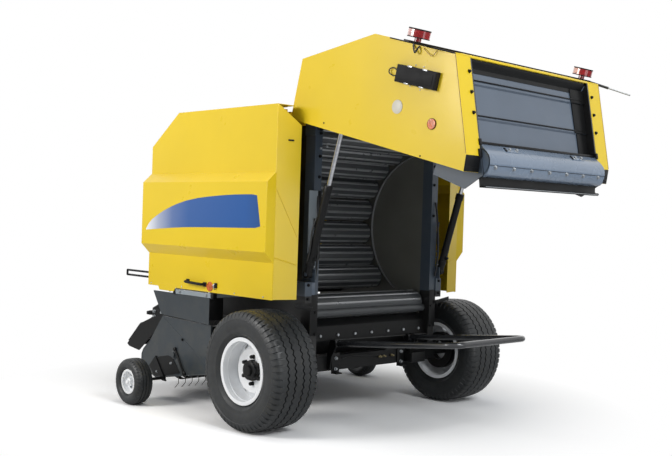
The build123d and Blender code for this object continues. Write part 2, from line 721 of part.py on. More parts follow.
def jack():
    sleeve = Pos(JACK_X, JACK_Y, (JACK_SLEEVE_BOTTOM + JACK_SLEEVE_TOP) / 2) * Cylinder(
        JACK_SLEEVE_R, JACK_SLEEVE_TOP - JACK_SLEEVE_BOTTOM)
    sleeve += block(JACK_X - JACK_LUG_HALF, JACK_X + JACK_LUG_HALF, BEAM_SIDE / 2, JACK_Y, *JACK_LUG)
    low, high = JACK_SLEEVE_BOTTOM - 20, JACK_SLEEVE_TOP - JACK_SLEEVE_CAP
    sleeve -= Pos(JACK_X, JACK_Y, (low + high) / 2) * Cylinder(JACK_LEG_R + FIT, high - low)
    keep("jack_sleeve", sleeve)
    leg = Pos(JACK_X, JACK_Y, (JACK_LEG_TOP + JACK_FOOT_THICK / 2) / 2) * Cylinder(
        JACK_LEG_R, JACK_LEG_TOP - JACK_FOOT_THICK / 2)
    leg += block(JACK_X - JACK_FOOT / 2, JACK_X + JACK_FOOT / 2, JACK_Y - JACK_FOOT / 2,
                 JACK_Y + JACK_FOOT / 2, 0, JACK_FOOT_THICK)
    keep("jack_leg", leg)


# ---- Hoop ---------------------------------------------------------------------------------
def hoop():
    path = FilletPolyline(
        (HOOP_PIVOT_X, HOOP_HALF, HOOP_PIVOT_Z),
        (HOOP_REAR_X, HOOP_HALF, HOOP_REAR_Z),
        (HOOP_REAR_X, -HOOP_HALF, HOOP_REAR_Z),
        (HOOP_PIVOT_X, -HOOP_HALF, HOOP_PIVOT_Z),
        radius=HOOP_CORNER_R,
    )
    start = Plane(origin=path @ 0, z_dir=path % 0)
    tube = sweep(start * Circle(HOOP_R), path)
    for sign in (-1, 1):
        y0, y1 = sorted((sign * (HOOP_HALF - HOOP_BOSS), sign * (HOOP_HALF + HOOP_BOSS)))
        tube += bar_y(HOOP_PIVOT_X, HOOP_PIVOT_Z, HOOP_BOSS_R, y0, y1)
        tube -= bar_y(HOOP_PIVOT_X, HOOP_PIVOT_Z, HOOP_PIN_R + FIT, y0 - 5, y1 + 5)
    keep("bale_hoop", tube)
    foot_x, at_y = -AXLE_SIDE / 2, HOOP_HALF + HOOP_BRACKET_AT
    outline = [(foot_x, HOOP_BRACKET_FOOT[0]), (foot_x, HOOP_BRACKET_FOOT[1]), *HOOP_BRACKET_EDGE]
    bracket = slab(outline, at_y, at_y + PLATE)
    bracket += bar_y(HOOP_PIVOT_X, HOOP_PIVOT_Z, HOOP_PIN_R, HOOP_HALF - HOOP_PIN_END, at_y + PLATE / 2)
    keep("hoop_brackets", both(bracket))


# ---- Tailgate -----------------------------------------------------------------------------
def tailgate():
    outline = list(TAILGATE_OUTLINE)
    front = TAILGATE_FRONT_X
    wall_line = inset(outline, (1, 1, 1, 1, 1, 0))
    foot = (END_ROLL_X + END_ROLL_FOOT[0], END_ROLL_Z - END_ROLL_FOOT[1])
    # The wall's front edge keeps behind the skin's, but for a hook at its foot
    (top_x, top_z), (foot_x, foot_z) = TAILGATE_OUTLINE[0], TAILGATE_OUTLINE[-1]

    def skin_x(z):
        return top_x + (foot_x - top_x) * (top_z - z) / (top_z - foot_z)

    lead_z = top_z - (top_z - foot_z) * (front - top_x) / (foot_x - top_x)
    hook = [(front, TAILGATE_FOOT_Z), (front, WALL_HOOK_Z), (skin_x(WALL_HOOK_Z), WALL_HOOK_Z),
            (front, lead_z), (front, HINGE_Z)]
    wall = slab(wall_line[:5] + [foot] + hook, TAILGATE_WALL_IN, TAILGATE_WALL_OUT)
    wall += bar_y(HINGE_X, HINGE_Z, HINGE_EAR_R, TAILGATE_WALL_IN, TAILGATE_WALL_OUT)
    wall -= bar_y(HINGE_X, HINGE_Z, HINGE_PIN_R + FIT, TAILGATE_WALL_IN - 5, TAILGATE_WALL_OUT + 5)
    wall += bar_y(*CYLINDER_EYE_SHUT, CYLINDER_PIN_R, TAILGATE_WALL_OUT - 2,
                  CYLINDER_Y - EYE_WIDTH / 2 - EYE_GAP)
    keep("tailgate_walls", both(open_up(wall)))

    skin = slab(outline, TAILGATE_WALL_OUT, TAILGATE_HALF)
    hollow = inset(outline, (STEEL, STEEL, STEEL, STEEL, STEEL, -20))
    skin -= slab(hollow, TAILGATE_WALL_OUT - 5, TAILGATE_HALF - STEEL)
    keep_pair("tailgate_skin", open_up(skin))

    half = TAILGATE_WALL_IN
    line = inset(outline, (COVER_INSET,) * 6)
    cover = folded(line[:4], -STEEL, -half, half)
    keep("tailgate_cover", open_up(cover))

    def on_face(along, deep):
        x, z = TAILGATE_OUTLINE[3]
        return (x + FACE_ALONG[0] * along + FACE_IN[0] * deep,
                z + FACE_ALONG[1] * along + FACE_IN[1] * deep)

    panels = folded([on_face(a, d) for a, d in END_PANEL_LINE], -STEEL, -half, half)
    keep("end_panels", open_up(panels))

    rolls = [r for r in rolls_at(REAR_ROLL_START, REAR_ROLLS, half)]
    keep("tailgate_rolls", Compound(children=[s for r in rolls for s in open_up(r).solids()]))

    cover = bar_y(END_ROLL_X, END_ROLL_Z, END_ROLL_COVER_R, -half, half)
    cover -= bar_y(END_ROLL_X, END_ROLL_Z, END_ROLL_COVER_R - END_ROLL_COVER_WALL, -half - 1, half + 1)
    keep("end_roll_cover", open_up(cover))


def lamps():
    x3, z3 = TAILGATE_OUTLINE[2]
    x4, z4 = TAILGATE_OUTLINE[3]
    length = hypot(x4 - x3, z4 - z3)
    ux, uz = (x4 - x3) / length, (z4 - z3) / length
    nx, nz = uz, -ux
    if nx > 0:
        nx, nz = -nx, -nz

    def at(along, out):
        return (x3 + ux * along + nx * out, z3 + uz * along + nz * out)

    a, (wide, thick), reach = LAMP_BAR_ALONG, LAMP_BAR, LAMP_Y + LAMP_BAR_PAST
    stem_r, stem_high = LAMP_STEM
    bar_shape = slab([at(a, 0), at(a, thick), at(a + wide, thick), at(a + wide, 0)], -reach, reach)
    keep("lamp_bar", open_up(bar_shape))
    solids = []
    for sign in (-1, 1):
        (x0, z0), (x1, z1), (x2, z2) = (
            at(a + wide / 2, thick + up) for up in (0, stem_high, stem_high + LAMP_HEIGHT))
        y = sign * LAMP_Y
        lamp = bar((x0, y, z0), (x2, y, z2), stem_r) + bar((x1, y, z1), (x2, y, z2), LAMP_R)
        solids += open_up(lamp).solids()
    keep("tail_lamps", Compound(children=solids))


def side_box():
    """The switch box on the left of the tailgate."""
    ex, ez = TAILGATE_OUTLINE[0]
    fx, fz = TAILGATE_OUTLINE[5]
    length = hypot(fx - ex, fz - ez)
    ux, uz = (fx - ex) / length, (fz - ez) / length
    vx, vz = uz, -ux

    def at(down, back):
        return (ex + ux * down + vx * back, ez + uz * down + vz * back)

    (top, foot), (near, far) = SIDE_BOX_DOWN, SIDE_BOX_BACK
    box = slab([at(top, near), at(foot, near), at(foot, far), at(top, far)],
               TAILGATE_HALF, TAILGATE_HALF + SIDE_BOX_DEPTH)
    keep("side_box", open_up(box))


def cylinders():
    fx, fz = CYLINDER_FOOT
    ex, ez = EYE_OPEN
    y0, y1 = CYLINDER_Y - EYE_WIDTH / 2, CYLINDER_Y + EYE_WIDTH / 2
    way = Vector(ex - fx, 0, ez - fz).normalized()
    foot = Vector(fx, CYLINDER_Y, fz)
    eye = Vector(ex, CYLINDER_Y, ez)
    head = foot + way * BARREL_LENGTH
    barrel = bar(foot, head, BARREL_R) + bar_y(fx, fz, EYE_R, y0, y1)
    barrel -= bar_y(fx, fz, CYLINDER_PIN_R + FIT, y0 - BARREL_R, y1 + BARREL_R)
    barrel -= bar(foot + way * BARREL_FLOOR, head + way * 5, ROD_R + FIT)
    keep_pair("cylinder_barrel", barrel)
    rod_start = foot + way * (BARREL_LENGTH - ROD_HIDDEN)
    rod = bar(rod_start, eye, ROD_R) + bar_y(ex, ez, EYE_R, y0, y1)
    rod -= bar_y(ex, ez, CYLINDER_PIN_R + FIT, y0 - 5, y1 + 5)
    keep_pair("cylinder_rod", rod)


# ---- Side doors ---------------------------------------------------------------------------
def side_door():
    def shell(section, x0, x1):
        face = make_face(Polyline([(x0, y, z) for y, z in section], close=True))
        return extrude(face, x1 - x0, dir=(1, 0, 0))

    outer = list(DOOR_SECTION) + [(DOOR_INNER, DOOR_SECTION[-1][1]), (DOOR_INNER, DOOR_TOP)]
    inner = [(y - STEEL, z) for y, z in DOOR_SECTION]
    inner[0] = (inner[0][0], DOOR_TOP - STEEL)
    inner[-1] = (inner[-1][0], DOOR_SECTION[-1][1] - 50)
    inner += [(DOOR_INNER - 50, DOOR_SECTION[-1][1] - 50), (DOOR_INNER - 50, DOOR_TOP - STEEL)]
    door = shell(outer, DOOR_REAR, DOOR_FRONT)
    door -= shell(inner, DOOR_REAR + STEEL, DOOR_FRONT - STEEL)
    wedge = slab([(DOOR_CHAMFER_X, DOOR_TOP), (DOOR_FRONT, DOOR_CHAMFER_Z),
                  (DOOR_FRONT + 20, DOOR_TOP + 50), (DOOR_CHAMFER_X, DOOR_TOP + 50)],
                 DOOR_INNER - 50, max(y for y, z in DOOR_SECTION) + 50)
    door -= wedge
    slope = hypot(DOOR_FRONT - DOOR_CHAMFER_X, DOOR_TOP - DOOR_CHAMFER_Z)
    nx = (DOOR_TOP - DOOR_CHAMFER_Z) / slope * STEEL
    nz = (DOOR_FRONT - DOOR_CHAMFER_X) / slope * STEEL
    roof_slope = slab([(DOOR_CHAMFER_X, DOOR_TOP), (DOOR_FRONT, DOOR_CHAMFER_Z),
                       (DOOR_FRONT - nx, DOOR_CHAMFER_Z - nz), (DOOR_CHAMFER_X - nx, DOOR_TOP - nz)],
                      DOOR_INNER, DOOR_SECTION[0][0])
    door += roof_slope
    door -= block(DOOR_REAR - 1, DOOR_REAR + STEEL, DOOR_INNER - 1, DOOR_SECTION[0][0] - STEEL,
                  DOOR_SECTION[-1][1] - 50, DOOR_TOP + 1)
    door -= block(DOOR_REAR - 1, DOOR_NOTCH[0], DOOR_INNER - 1, DOOR_INNER + DOOR_NOTCH[1],
                  DOOR_TOP - STEEL - 1, DOOR_TOP + 1)
    for x in DOOR_KNUCKLES_X:
        door += bar_x(DOOR_HINGE_Y, DOOR_HINGE_Z, DOOR_KNUCKLE_R, x, x + DOOR_KNUCKLE_LENGTH)
        door += block(x, x + DOOR_KNUCKLE_LENGTH, DOOR_HINGE_Y, DOOR_HINGE_Y + DOOR_HINGE_LEAF,
                      DOOR_TOP - STEEL, DOOR_TOP)
        door -= bar_x(DOOR_HINGE_Y, DOOR_HINGE_Z, DOOR_HINGE_R + FIT, x - 5, x + DOOR_KNUCKLE_LENGTH + 5)
    # The rear return slants inwards and backwards to the tailgate
    y1 = DOOR_SECTION[0][0] - STEEL
    low, in_y = DOOR_RETURN_BOTTOM, DOOR_INNER - DOOR_RETURN_REACH
    plan = [(DOOR_REAR, y1, low), (DOOR_RETURN_X, DOOR_INNER, low),
            (DOOR_RETURN_X + STEEL, DOOR_INNER, low), (DOOR_REAR + STEEL, y1, low)]
    ret = extrude(make_face(Polyline(plan, close=True)), DOOR_TOP - STEEL - low, dir=(0, 0, 1))
    cut = [(y1, DOOR_TOP), (in_y, DOOR_RETURN_TOP), (in_y, DOOR_TOP + 50), (y1, DOOR_TOP + 50)]
    ret -= extrude(make_face(Polyline([(DOOR_RETURN_X - 50, y, z) for y, z in cut], close=True)),
                   DOOR_REAR - DOOR_RETURN_X + 100, dir=(1, 0, 0))
    left = [*door.solids(), *ret.solids()]
    keep("side_door_left", Compound(children=left))
    keep("side_door_right", Compound(children=[mirrored(s) for s in left]))


def skirts():
    outline = [(SKIRT_CORNERS[-1][0], RAIL_Z0), *SKIRT_CORNERS]
    keep("side_skirts", both(slab(outline, SKIRT_OUT - SKIRT_THICK, SKIRT_OUT)))
    rail = block(*RAIL_X, *RAIL_Y, RAIL_Z0, RAIL_Z1)
    for x in RAIL_ARMS_X:
        rail += block(x, x + RAIL_ARM, WALL_OUT, RAIL_Y[0], RAIL_Z0, RAIL_Z1)
    keep("door_rails", both(rail))


# ---- Pickup -------------------------------------------------------------------------------
def pickup():
    y1, y0 = PICKUP_PLATE_OUT, PICKUP_PLATE_OUT - PICKUP_PLATE
    plate = slab(PICKUP_OUTLINE, y0, y1)
    plate -= bar_y(REEL_X, REEL_Z, REEL_SHAFT_R + FIT, y0 - 5, y1 + 5)
    plate += bar_y(GUARD_PIVOT_X, GUARD_PIVOT_Z, GUARD_PIN_R, y0 - 2 * GAP - GUARD_ARM, y0)
    keep("pickup_plates", both(plate))
    tube = block(TUBE_X, TUBE_X + TUBE_SIDE, -y0, y0, TUBE_Z, TUBE_Z + TUBE_SIDE)
    for sign in (-1, 1):
        a, b = sorted((sign * (WALL_OUT + GAP), sign * (WALL_OUT + GAP + ARM)))
        tube += slab([*ARM_REAR, ARM_NECK[0], (TUBE_X, TUBE_Z + TUBE_SIDE), (TUBE_X, TUBE_Z), ARM_NECK[1]],
                     a, b)
        tube -= bar_y(PICKUP_PIVOT_X, PICKUP_PIVOT_Z, PICKUP_PIN_R + FIT, a - 5, b + 5)
    x0, z0 = LOW_BAR
    frame = tube + block(x0, x0 + LOW_BAR_SIDE, -y0, y0, z0, z0 + LOW_BAR_SIDE)
    for k in range(TINES - 1):
        frame += stripper((k - (TINES - 2) / 2) * TINE_PITCH)
    keep("pickup_frame", frame)


def stripper(y):
    """One band round the reel, between two rows of tines, from the top bar to the low bar."""
    end_x = REEL_X - BAND_BACK
    rise = (BAND_R ** 2 - BAND_BACK ** 2) ** 0.5
    y0, y1 = y - BAND_WIDTH / 2, y + BAND_WIDTH / 2
    band = bar_y(REEL_X, REEL_Z, BAND_R, y0, y1) - bar_y(REEL_X, REEL_Z, BAND_R - STEEL, y0, y1)
    band -= block(REEL_X - 2 * BAND_R, end_x, y0, y1, REEL_Z - BAND_R, REEL_Z + BAND_R)
    top = (TUBE_X + TUBE_SIDE - 2, REEL_Z + rise - 3), (end_x + 2, REEL_Z + rise)
    low = (end_x + 2, REEL_Z - rise), (LOW_BAR[0] + LOW_BAR_SIDE - 2, LOW_BAR[1] + BAND_SEAT)
    for line in (top, low):
        band += folded(line, STEEL, y0, y1)
    return band


def reel():
    half = (TINES - 1) / 2 * TINE_PITCH + BAR_END
    end, shaft = half + REEL_END, PICKUP_PLATE_OUT - REEL_SHAFT_SHORT
    bars = bar_y(REEL_X, REEL_Z, REEL_TUBE_R, -end, end)
    bars += bar_y(REEL_X, REEL_Z, REEL_SHAFT_R, -shaft, shaft)
    for y in (-end, -half / 3, half / 3, end):
        bars += bar_y(REEL_X, REEL_Z, REEL_BAR_AT + REEL_BAR_R + REEL_DISC_RIM, y - REEL_DISC / 2, y + REEL_DISC / 2)
    row = bar_y(REEL_X, REEL_Z - REEL_BAR_AT, REEL_BAR_R, -end, end)
    for k in range(TINES):
        y = (k - (TINES - 1) / 2) * TINE_PITCH
        bend = (REEL_X, y, REEL_Z - TINE_BEND_R)
        row += bar((REEL_X, y, REEL_Z - REEL_BAR_AT + 5), bend, TINE_R)
        row += bar(bend, (REEL_X + TINE_TIP[0], y, REEL_Z - TINE_TIP[1]), TINE_R)
        row += Pos(*bend) * Sphere(TINE_R)
    for k in range(REEL_BARS):
        bars += row.rotate(Axis((REEL_X, 0, REEL_Z), (0, 1, 0)), 360 / REEL_BARS * k)
    keep("tine_reel", bars)


def wind_guard():
    y1 = PICKUP_PLATE_OUT - PICKUP_PLATE - GAP
    y0 = y1 - GUARD_ARM
    guard = folded(GUARD_LINE, GUARD_SHEET, -y1, y1)
    for sign in (-1, 1):
        a, b = sorted((sign * y0, sign * y1))
        guard += slab([*GUARD_ARM_EDGE, *GUARD_LINE[-2::-1]], a, b)
        guard -= bar_y(GUARD_PIVOT_X, GUARD_PIVOT_Z, GUARD_PIN_R + FIT, a - 5, b + 5)
    guard += bar_y(*GUARD_ROLLER, GUARD_ROLLER_R, -y1, y1)
    keep("wind_guard", guard)


def gauge_wheels():
    arm = bar_y(GAUGE_X, GAUGE_R, GAUGE_AXLE_R, PICKUP_PLATE_OUT, GAUGE_Y + GAUGE_AXLE_PAST)
    arm += slab(GAUGE_ARM_LINE, PICKUP_PLATE_OUT, PICKUP_PLATE_OUT + GAUGE_ARM)
    keep("gauge_arms", both(arm))
    keep_pair("gauge_tyre", ring_y(GAUGE_X, GAUGE_Y, GAUGE_R, tyre(
        GAUGE_R, GAUGE_W, GAUGE_RIM_R + BEAD_FIT, GAUGE_LIP_R + LIP_FIT, GAUGE_SEAT, GAUGE_SHOULDER,
        GAUGE_TYRE_WALL)))
    half, in_r, bore = GAUGE_RIM_HALF, GAUGE_RIM_R - GAUGE_RIM_WALL, GAUGE_AXLE_R + FIT
    (hub_back, hub_front), (disc_back, disc_front) = GAUGE_HUB, GAUGE_DISC
    rim = ring_y(GAUGE_X, GAUGE_Y, GAUGE_R, [
        (in_r, -half), (GAUGE_LIP_R, -half), (GAUGE_RIM_R, GAUGE_LIP - half),
        (GAUGE_RIM_R, half - GAUGE_LIP), (GAUGE_LIP_R, half), (in_r, half), (in_r, disc_front),
        (GAUGE_HUB_R, disc_front), (GAUGE_HUB_R, hub_front), (bore, hub_front), (bore, -hub_back),
        (GAUGE_HUB_R, -hub_back), (GAUGE_HUB_R, disc_back), (in_r, disc_back)])
    keep_pair("gauge_rim", rim)


MAKERS = (
    main_wheel, axle, chamber_walls, rear_posts, front_rolls, cross_sheets, roof,
    front_cover, net_lid, drawbar, gearbox, input_shaft, holders, jack, hoop, tailgate, lamps,
    side_box, cylinders, side_door, skirts, pickup, reel, wind_guard, gauge_wheels,
)

os.makedirs("parts", exist_ok=True)
for maker in MAKERS:
    maker()
for name, piece in PARTS.items():
    export_step(Pos(AXLE_X, 0, 0) * piece, f"parts/{name}.step")
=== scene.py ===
"""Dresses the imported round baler: finishes on its steelwork, tyre treads, fittings, fasteners and a studio.

Run as a script it registers the add-on's classes and calls each operator once, in order.
"""

import json
from math import atan2, cos, hypot, pi, radians, sin

import bmesh
import bpy
from bpy.props import FloatProperty, FloatVectorProperty, IntProperty, PointerProperty
from mathutils import Matrix, Vector


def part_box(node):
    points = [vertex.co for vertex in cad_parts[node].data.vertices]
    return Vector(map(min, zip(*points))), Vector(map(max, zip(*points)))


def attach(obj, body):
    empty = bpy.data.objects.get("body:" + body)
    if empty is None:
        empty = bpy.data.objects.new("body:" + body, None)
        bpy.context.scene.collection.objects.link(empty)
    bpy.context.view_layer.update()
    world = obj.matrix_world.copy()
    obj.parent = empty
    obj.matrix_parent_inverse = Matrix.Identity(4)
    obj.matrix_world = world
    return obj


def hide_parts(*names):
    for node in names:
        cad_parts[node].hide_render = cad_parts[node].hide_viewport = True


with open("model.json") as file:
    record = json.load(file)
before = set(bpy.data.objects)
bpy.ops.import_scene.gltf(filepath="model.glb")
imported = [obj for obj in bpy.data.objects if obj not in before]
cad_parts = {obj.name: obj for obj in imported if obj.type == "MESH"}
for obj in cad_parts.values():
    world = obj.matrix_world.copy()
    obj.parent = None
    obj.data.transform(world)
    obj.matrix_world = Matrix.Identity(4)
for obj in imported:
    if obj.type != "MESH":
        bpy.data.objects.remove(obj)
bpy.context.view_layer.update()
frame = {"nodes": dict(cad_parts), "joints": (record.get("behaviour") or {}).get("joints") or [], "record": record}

bl_info = {
    "name": "Round Baler Dressing",
    "version": (1, 0, 0),
    "blender": (4, 5, 0),
    "location": "View3D > Sidebar > Baler",
    "description": "Finishes, treads, fittings and studio for a towed round baler",
    "category": "Object",
}

RECORD = frame["record"]
JOINTS = {j["name"]: j for j in frame["joints"]}


# ---- Places, read from the frame ------------------------------------------------------------
def middle(node):
    low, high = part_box(node)
    return (low + high) / 2


def half_width(node):
    low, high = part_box(node)
    return (high.y - low.y) / 2


AXLE_X = middle("axle_beam").x
WHEEL_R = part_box("tyre_left")[1].z / 2
WHEEL_HALF = half_width("tyre_left")
GAUGE_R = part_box("gauge_tyre_left")[1].z / 2
GAUGE_HALF = half_width("gauge_tyre_left")
HINGE = Vector(JOINTS["tailgate"]["pos_m"])
REEL = Vector(JOINTS["reel"]["pos_m"])
SKIN_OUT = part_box("tailgate_skin_left")[1].y
GATE_OPEN = radians(-JOINTS["tailgate"]["range_deg"][0])
GATE = Matrix.Translation(HINGE) @ Matrix.Rotation(GATE_OPEN, 4, "Y") @ Matrix.Translation(-HINGE)
BEHIND, UP = (-1, 0, 0), (0, 0, 1)
SIDES = (("left", 1), ("right", -1))


def at(x, y, z):
    """A point measured from the ground under the axle."""
    return Vector((AXLE_X + x, y, z))


def on_gate(x, y, z):
    """A point of the shut tailgate, turned to where it stands open."""
    return GATE @ at(x, y, z)


def gate_way(x, z):
    """A direction of the shut tailgate, turned as it stands open."""
    return GATE.to_3x3() @ Vector((x, 0, z))


def heading(start, end):
    """The length and the unit direction from one (x, z) point to another."""
    run = hypot(end[0] - start[0], end[1] - start[1])
    return run, ((end[0] - start[0]) / run, (end[1] - start[1]) / run)


# Lower back face of the shut tailgate: from its top corner to its foot
FACE_TOP, FACE_FOOT = (-0.902, 1.028), (-0.356, 0.713)
FACE_ALONG = heading(FACE_TOP, FACE_FOOT)[1]
FACE_IN = (-FACE_ALONG[1], FACE_ALONG[0])


def on_face(along, y, deep=0.0):
    """A point of the lower back face, deep inwards from it."""
    return on_gate(FACE_TOP[0] + FACE_ALONG[0] * along + FACE_IN[0] * deep, y,
                   FACE_TOP[1] + FACE_ALONG[1] * along + FACE_IN[1] * deep)


def face_way(along, deep):
    """A direction of the lower back face."""
    return (on_face(along, 0, deep) - on_face(0, 0)).normalized()


def basis(origin, out, up):
    """A matrix with Z along out and Y nearest to up."""
    z = Vector(out).normalized()
    x = Vector(up).cross(z).normalized()
    y = z.cross(x)
    return Matrix.Translation(origin) @ Matrix((x, y, z)).transposed().to_4x4()


FACE_OUT, FACE_DOWN = face_way(0, -1), face_way(1, 0)


# ---- Colours and sizes a user may change ----------------------------------------------------
def tint(code):
    """Linear colour of a hex code."""
    parts = [(code >> shift & 255) / 255 for shift in (16, 8, 0)]
    return tuple(c / 12.92 if c <= 0.04045 else ((c + 0.055) / 1.055) ** 2.4 for c in parts)


def colour(name, description, code):
    return FloatVectorProperty(name=name, description=description, default=tint(code), subtype="COLOR",
                               size=3, min=0, max=1)


class BalerColours(bpy.types.PropertyGroup):
    """Colours of the baler's paints and parts"""
    yellow: colour("Cover Paint", "Doors, tailgate skins, roof and net box", 0xE6C61E)
    blue_grey: colour("Panel Paint", "Tailgate end panels and roll housing", 0x556170)
    post: colour("Post Paint", "Rear posts and the tailgate's walls", 0x434E5A)
    dark_plate: colour("Plate Paint", "Pickup side plates and skirts", 0x293137)
    black: colour("Chassis Paint", "Axle, drawbar and wind guard", 0x0D0E0F)
    roll: colour("Roll Steel", "Chamber rolls", 0x474A4C)
    rubber: colour("Rubber", "Tyres and hoses", 0x1B1E20)
    rim: colour("Wheel Paint", "Wheel rims", 0xEEF0F2)
    zinc: colour("Zinc", "Bolts, clips and fittings", 0xA9ADB0)
    lens: colour("Lamp Lens", "Red tail lamp lens", 0x8E1216)
    reflector: colour("Reflector", "Amber reflectors", 0xC9611F)
    stripe: colour("Stripe", "Dark end of the door stripe", 0x10539B)


class BalerSizes(bpy.types.PropertyGroup):
    """Sizes of the baler's treads, ribs and fasteners"""
    tread_pitches: IntProperty(name="Tread Pitches", description="Zigzags round a main tyre",
                               default=58, min=20, max=90)
    tread_depth: FloatProperty(name="Tread Depth", description="Depth of a main tyre's grooves",
                               default=0.011, min=0.002, max=0.02, unit="LENGTH")
    gauge_pitches: IntProperty(name="Gauge Tread Pitches", description="Zigzags round a gauge tyre",
                               default=40, min=12, max=70)
    roll_ribs: IntProperty(name="Roll Ribs", description="Ribs along each chamber roll",
                           default=10, min=4, max=16)
    rib_height: FloatProperty(name="Rib Height", description="Height of a roll's ribs",
                              default=0.006, min=0.002, max=0.012, unit="LENGTH")
    bolt_size: FloatProperty(name="Bolt Size", description="Width across the flats of a cover bolt",
                             default=0.019, min=0.008, max=0.03, unit="LENGTH")


def colours():
    return bpy.context.scene.baler_colours


def sizes():
    return bpy.context.scene.baler_sizes


# ---- Materials ------------------------------------------------------------------------------
DUST = tint(0x8C8062)
# Black used as painted shade on the shaded sides of the walls, and for the black feet of the posts
SHADE_AND_FOOT_BLACK = tint(0x121212)
# The part of a noise's range that a finish drifts over
DRIFT = (0.3, 0.7)


class Finish:
    """A procedural material, its nodes joined by name."""

    def __init__(self, name):
        self.material = bpy.data.materials.get(name) or bpy.data.materials.new(name)
        self.material.use_nodes = True
        self.tree = self.material.node_tree
        self.tree.nodes.clear()
        self.out = self.node("ShaderNodeOutputMaterial")
        self.shader = self.node("ShaderNodeBsdfPrincipled")
        self.join(self.shader, "BSDF", self.out, "Surface")
        self.place = self.node("ShaderNodeTexCoord")

    def node(self, kind, **settings):
        made = self.tree.nodes.new(kind)
        for key, value in settings.items():
            setattr(made, key, value)
        return made

    def join(self, a, output, b, socket):
        self.tree.links.new(a.outputs[output], b.inputs[socket])

    def split(self):
        """The place on the piece, parted into X, Y and Z."""
        made = self.node("ShaderNodeSeparateXYZ")
        self.join(self.place, "Object", made, "Vector")
        return made

    def noise(self, scale, detail, rough=0.55, stretch=(1, 1, 1)):
        mapped = self.node("ShaderNodeMapping")
        mapped.inputs["Scale"].default_value = stretch
        self.join(self.place, "Object", mapped, "Vector")
        made = self.node("ShaderNodeTexNoise")
        made.inputs["Scale"].default_value = scale
        made.inputs["Detail"].default_value = detail
        made.inputs["Roughness"].default_value = rough
        self.join(mapped, "Vector", made, "Vector")
        return made

    def spread(self, source, output, low, high, to_low=0.0, to_high=1.0):
        made = self.node("ShaderNodeMapRange")
        made.inputs["From Min"].default_value = low
        made.inputs["From Max"].default_value = high
        made.inputs["To Min"].default_value = to_low
        made.inputs["To Max"].default_value = to_high
        self.join(source, output, made, "Value")
        return made

    def multiply(self, a, b):
        made = self.node("ShaderNodeMath", operation="MULTIPLY")
        self.join(a, 0, made, 0)
        self.join(b, 0, made, 1)
        return made

    def mix(self, factor, low, high):
        """Colours low and high, each a colour or another mix, blended by a factor node."""
        made = self.node("ShaderNodeMix", data_type="RGBA")
        self.tree.links.new(factor.outputs[0], made.inputs[0])
        for index, value in ((6, low), (7, high)):
            if isinstance(value, bpy.types.Node):
                self.tree.links.new(value.outputs[2], made.inputs[index])
            else:
                made.inputs[index].default_value = (*value, 1)
        return made

    def paint(self, mixed):
        self.tree.links.new(mixed.outputs[2], self.shader.inputs["Base Color"])

    def roughen(self, noise, low, high):
        """Roughness from low to high over a noise."""
        self.join(self.spread(noise, 0, *DRIFT, low, high), 0, self.shader, "Roughness")

    def bump(self, source, depth, strength):
        made = self.node("ShaderNodeBump")
        made.inputs["Distance"].default_value = depth
        made.inputs["Strength"].default_value = strength
        self.join(source, 0, made, "Height")
        self.join(made, "Normal", self.shader, "Normal")

    def set(self, **values):
        for key, value in values.items():
            self.shader.inputs[key.replace("_", " ")].default_value = value
        return self


def shade(rgb, factor):
    return tuple(min(1.0, c * factor) for c in rgb)


def coat(name, rgb, rough=(0.28, 0.42), dust=0.16, patch=0.07, dust_top=1.4, gloss=0.25, peel=0.00025,
         metal=0.0, sheen=0.5, inside=None, beyond=None, foot=None):
    """Paint on steel: soft colour drift, a film of dust that thickens downwards, orange-peel bump.

    inside is how far from the middle plane the colour lasts on a piece that is black beyond it as
    painted shade, beyond is where it starts on a piece that is black nearer than that as painted
    shade, and foot is the height below which a piece is black.
    """
    f = Finish(name)
    drift = f.spread(f.noise(1.7, 3), 0, *DRIFT)
    base = f.mix(drift, shade(rgb, 1 - patch), shade(rgb, 1 + patch))
    specks = f.spread(f.noise(9, 8, 0.7), 0, 0.42, 0.75)
    place = f.split()
    height = f.spread(place, "Z", 0.1, dust_top, 1.0, 0.12)
    film = f.multiply(specks, height)
    film = f.spread(film, 0, 0, 1, 0.0, dust)
    mixed = f.mix(film, base, DUST)
    # Painted shade: black over the side of the piece that lies in shadow
    if inside or beyond:
        away = f.node("ShaderNodeMath", operation="ABSOLUTE")
        f.join(place, "Y", away, 0)
        edge = f.spread(away, 0, inside or beyond, (inside or beyond) + 0.003)
        mixed = f.mix(edge, mixed, SHADE_AND_FOOT_BLACK) if inside else f.mix(edge, SHADE_AND_FOOT_BLACK, mixed)
    if foot:
        mixed = f.mix(f.spread(place, "Z", foot - 0.002, foot + 0.002), SHADE_AND_FOOT_BLACK, mixed)
    f.paint(mixed)
    f.roughen(f.noise(5, 5), *rough)
    f.bump(f.noise(420, 2), peel, 0.35)
    return f.set(Coat_Weight=gloss, Coat_Roughness=0.12, Metallic=metal, Specular_IOR_Level=sheen).material


def bare_steel(name, rgb, rough=(0.3, 0.5), metal=0.8, streak=(1, 60, 1), stain=0.3):
    """Worn steel with fine streaks along one way."""
    f = Finish(name)
    lines = f.spread(f.noise(14, 6, 0.6, streak), 0, *DRIFT)
    base = f.mix(lines, shade(rgb, 0.78), shade(rgb, 1.25))
    spots = f.spread(f.noise(3.5, 6, 0.7), 0, 0.5, 0.8, 0, stain)
    f.paint(f.mix(spots, base, shade(tint(0x5A4A38), 0.6)))
    f.roughen(f.noise(9, 5), *rough)
    f.bump(lines, 0.0002, 0.4)
    return f.set(Metallic=metal).material


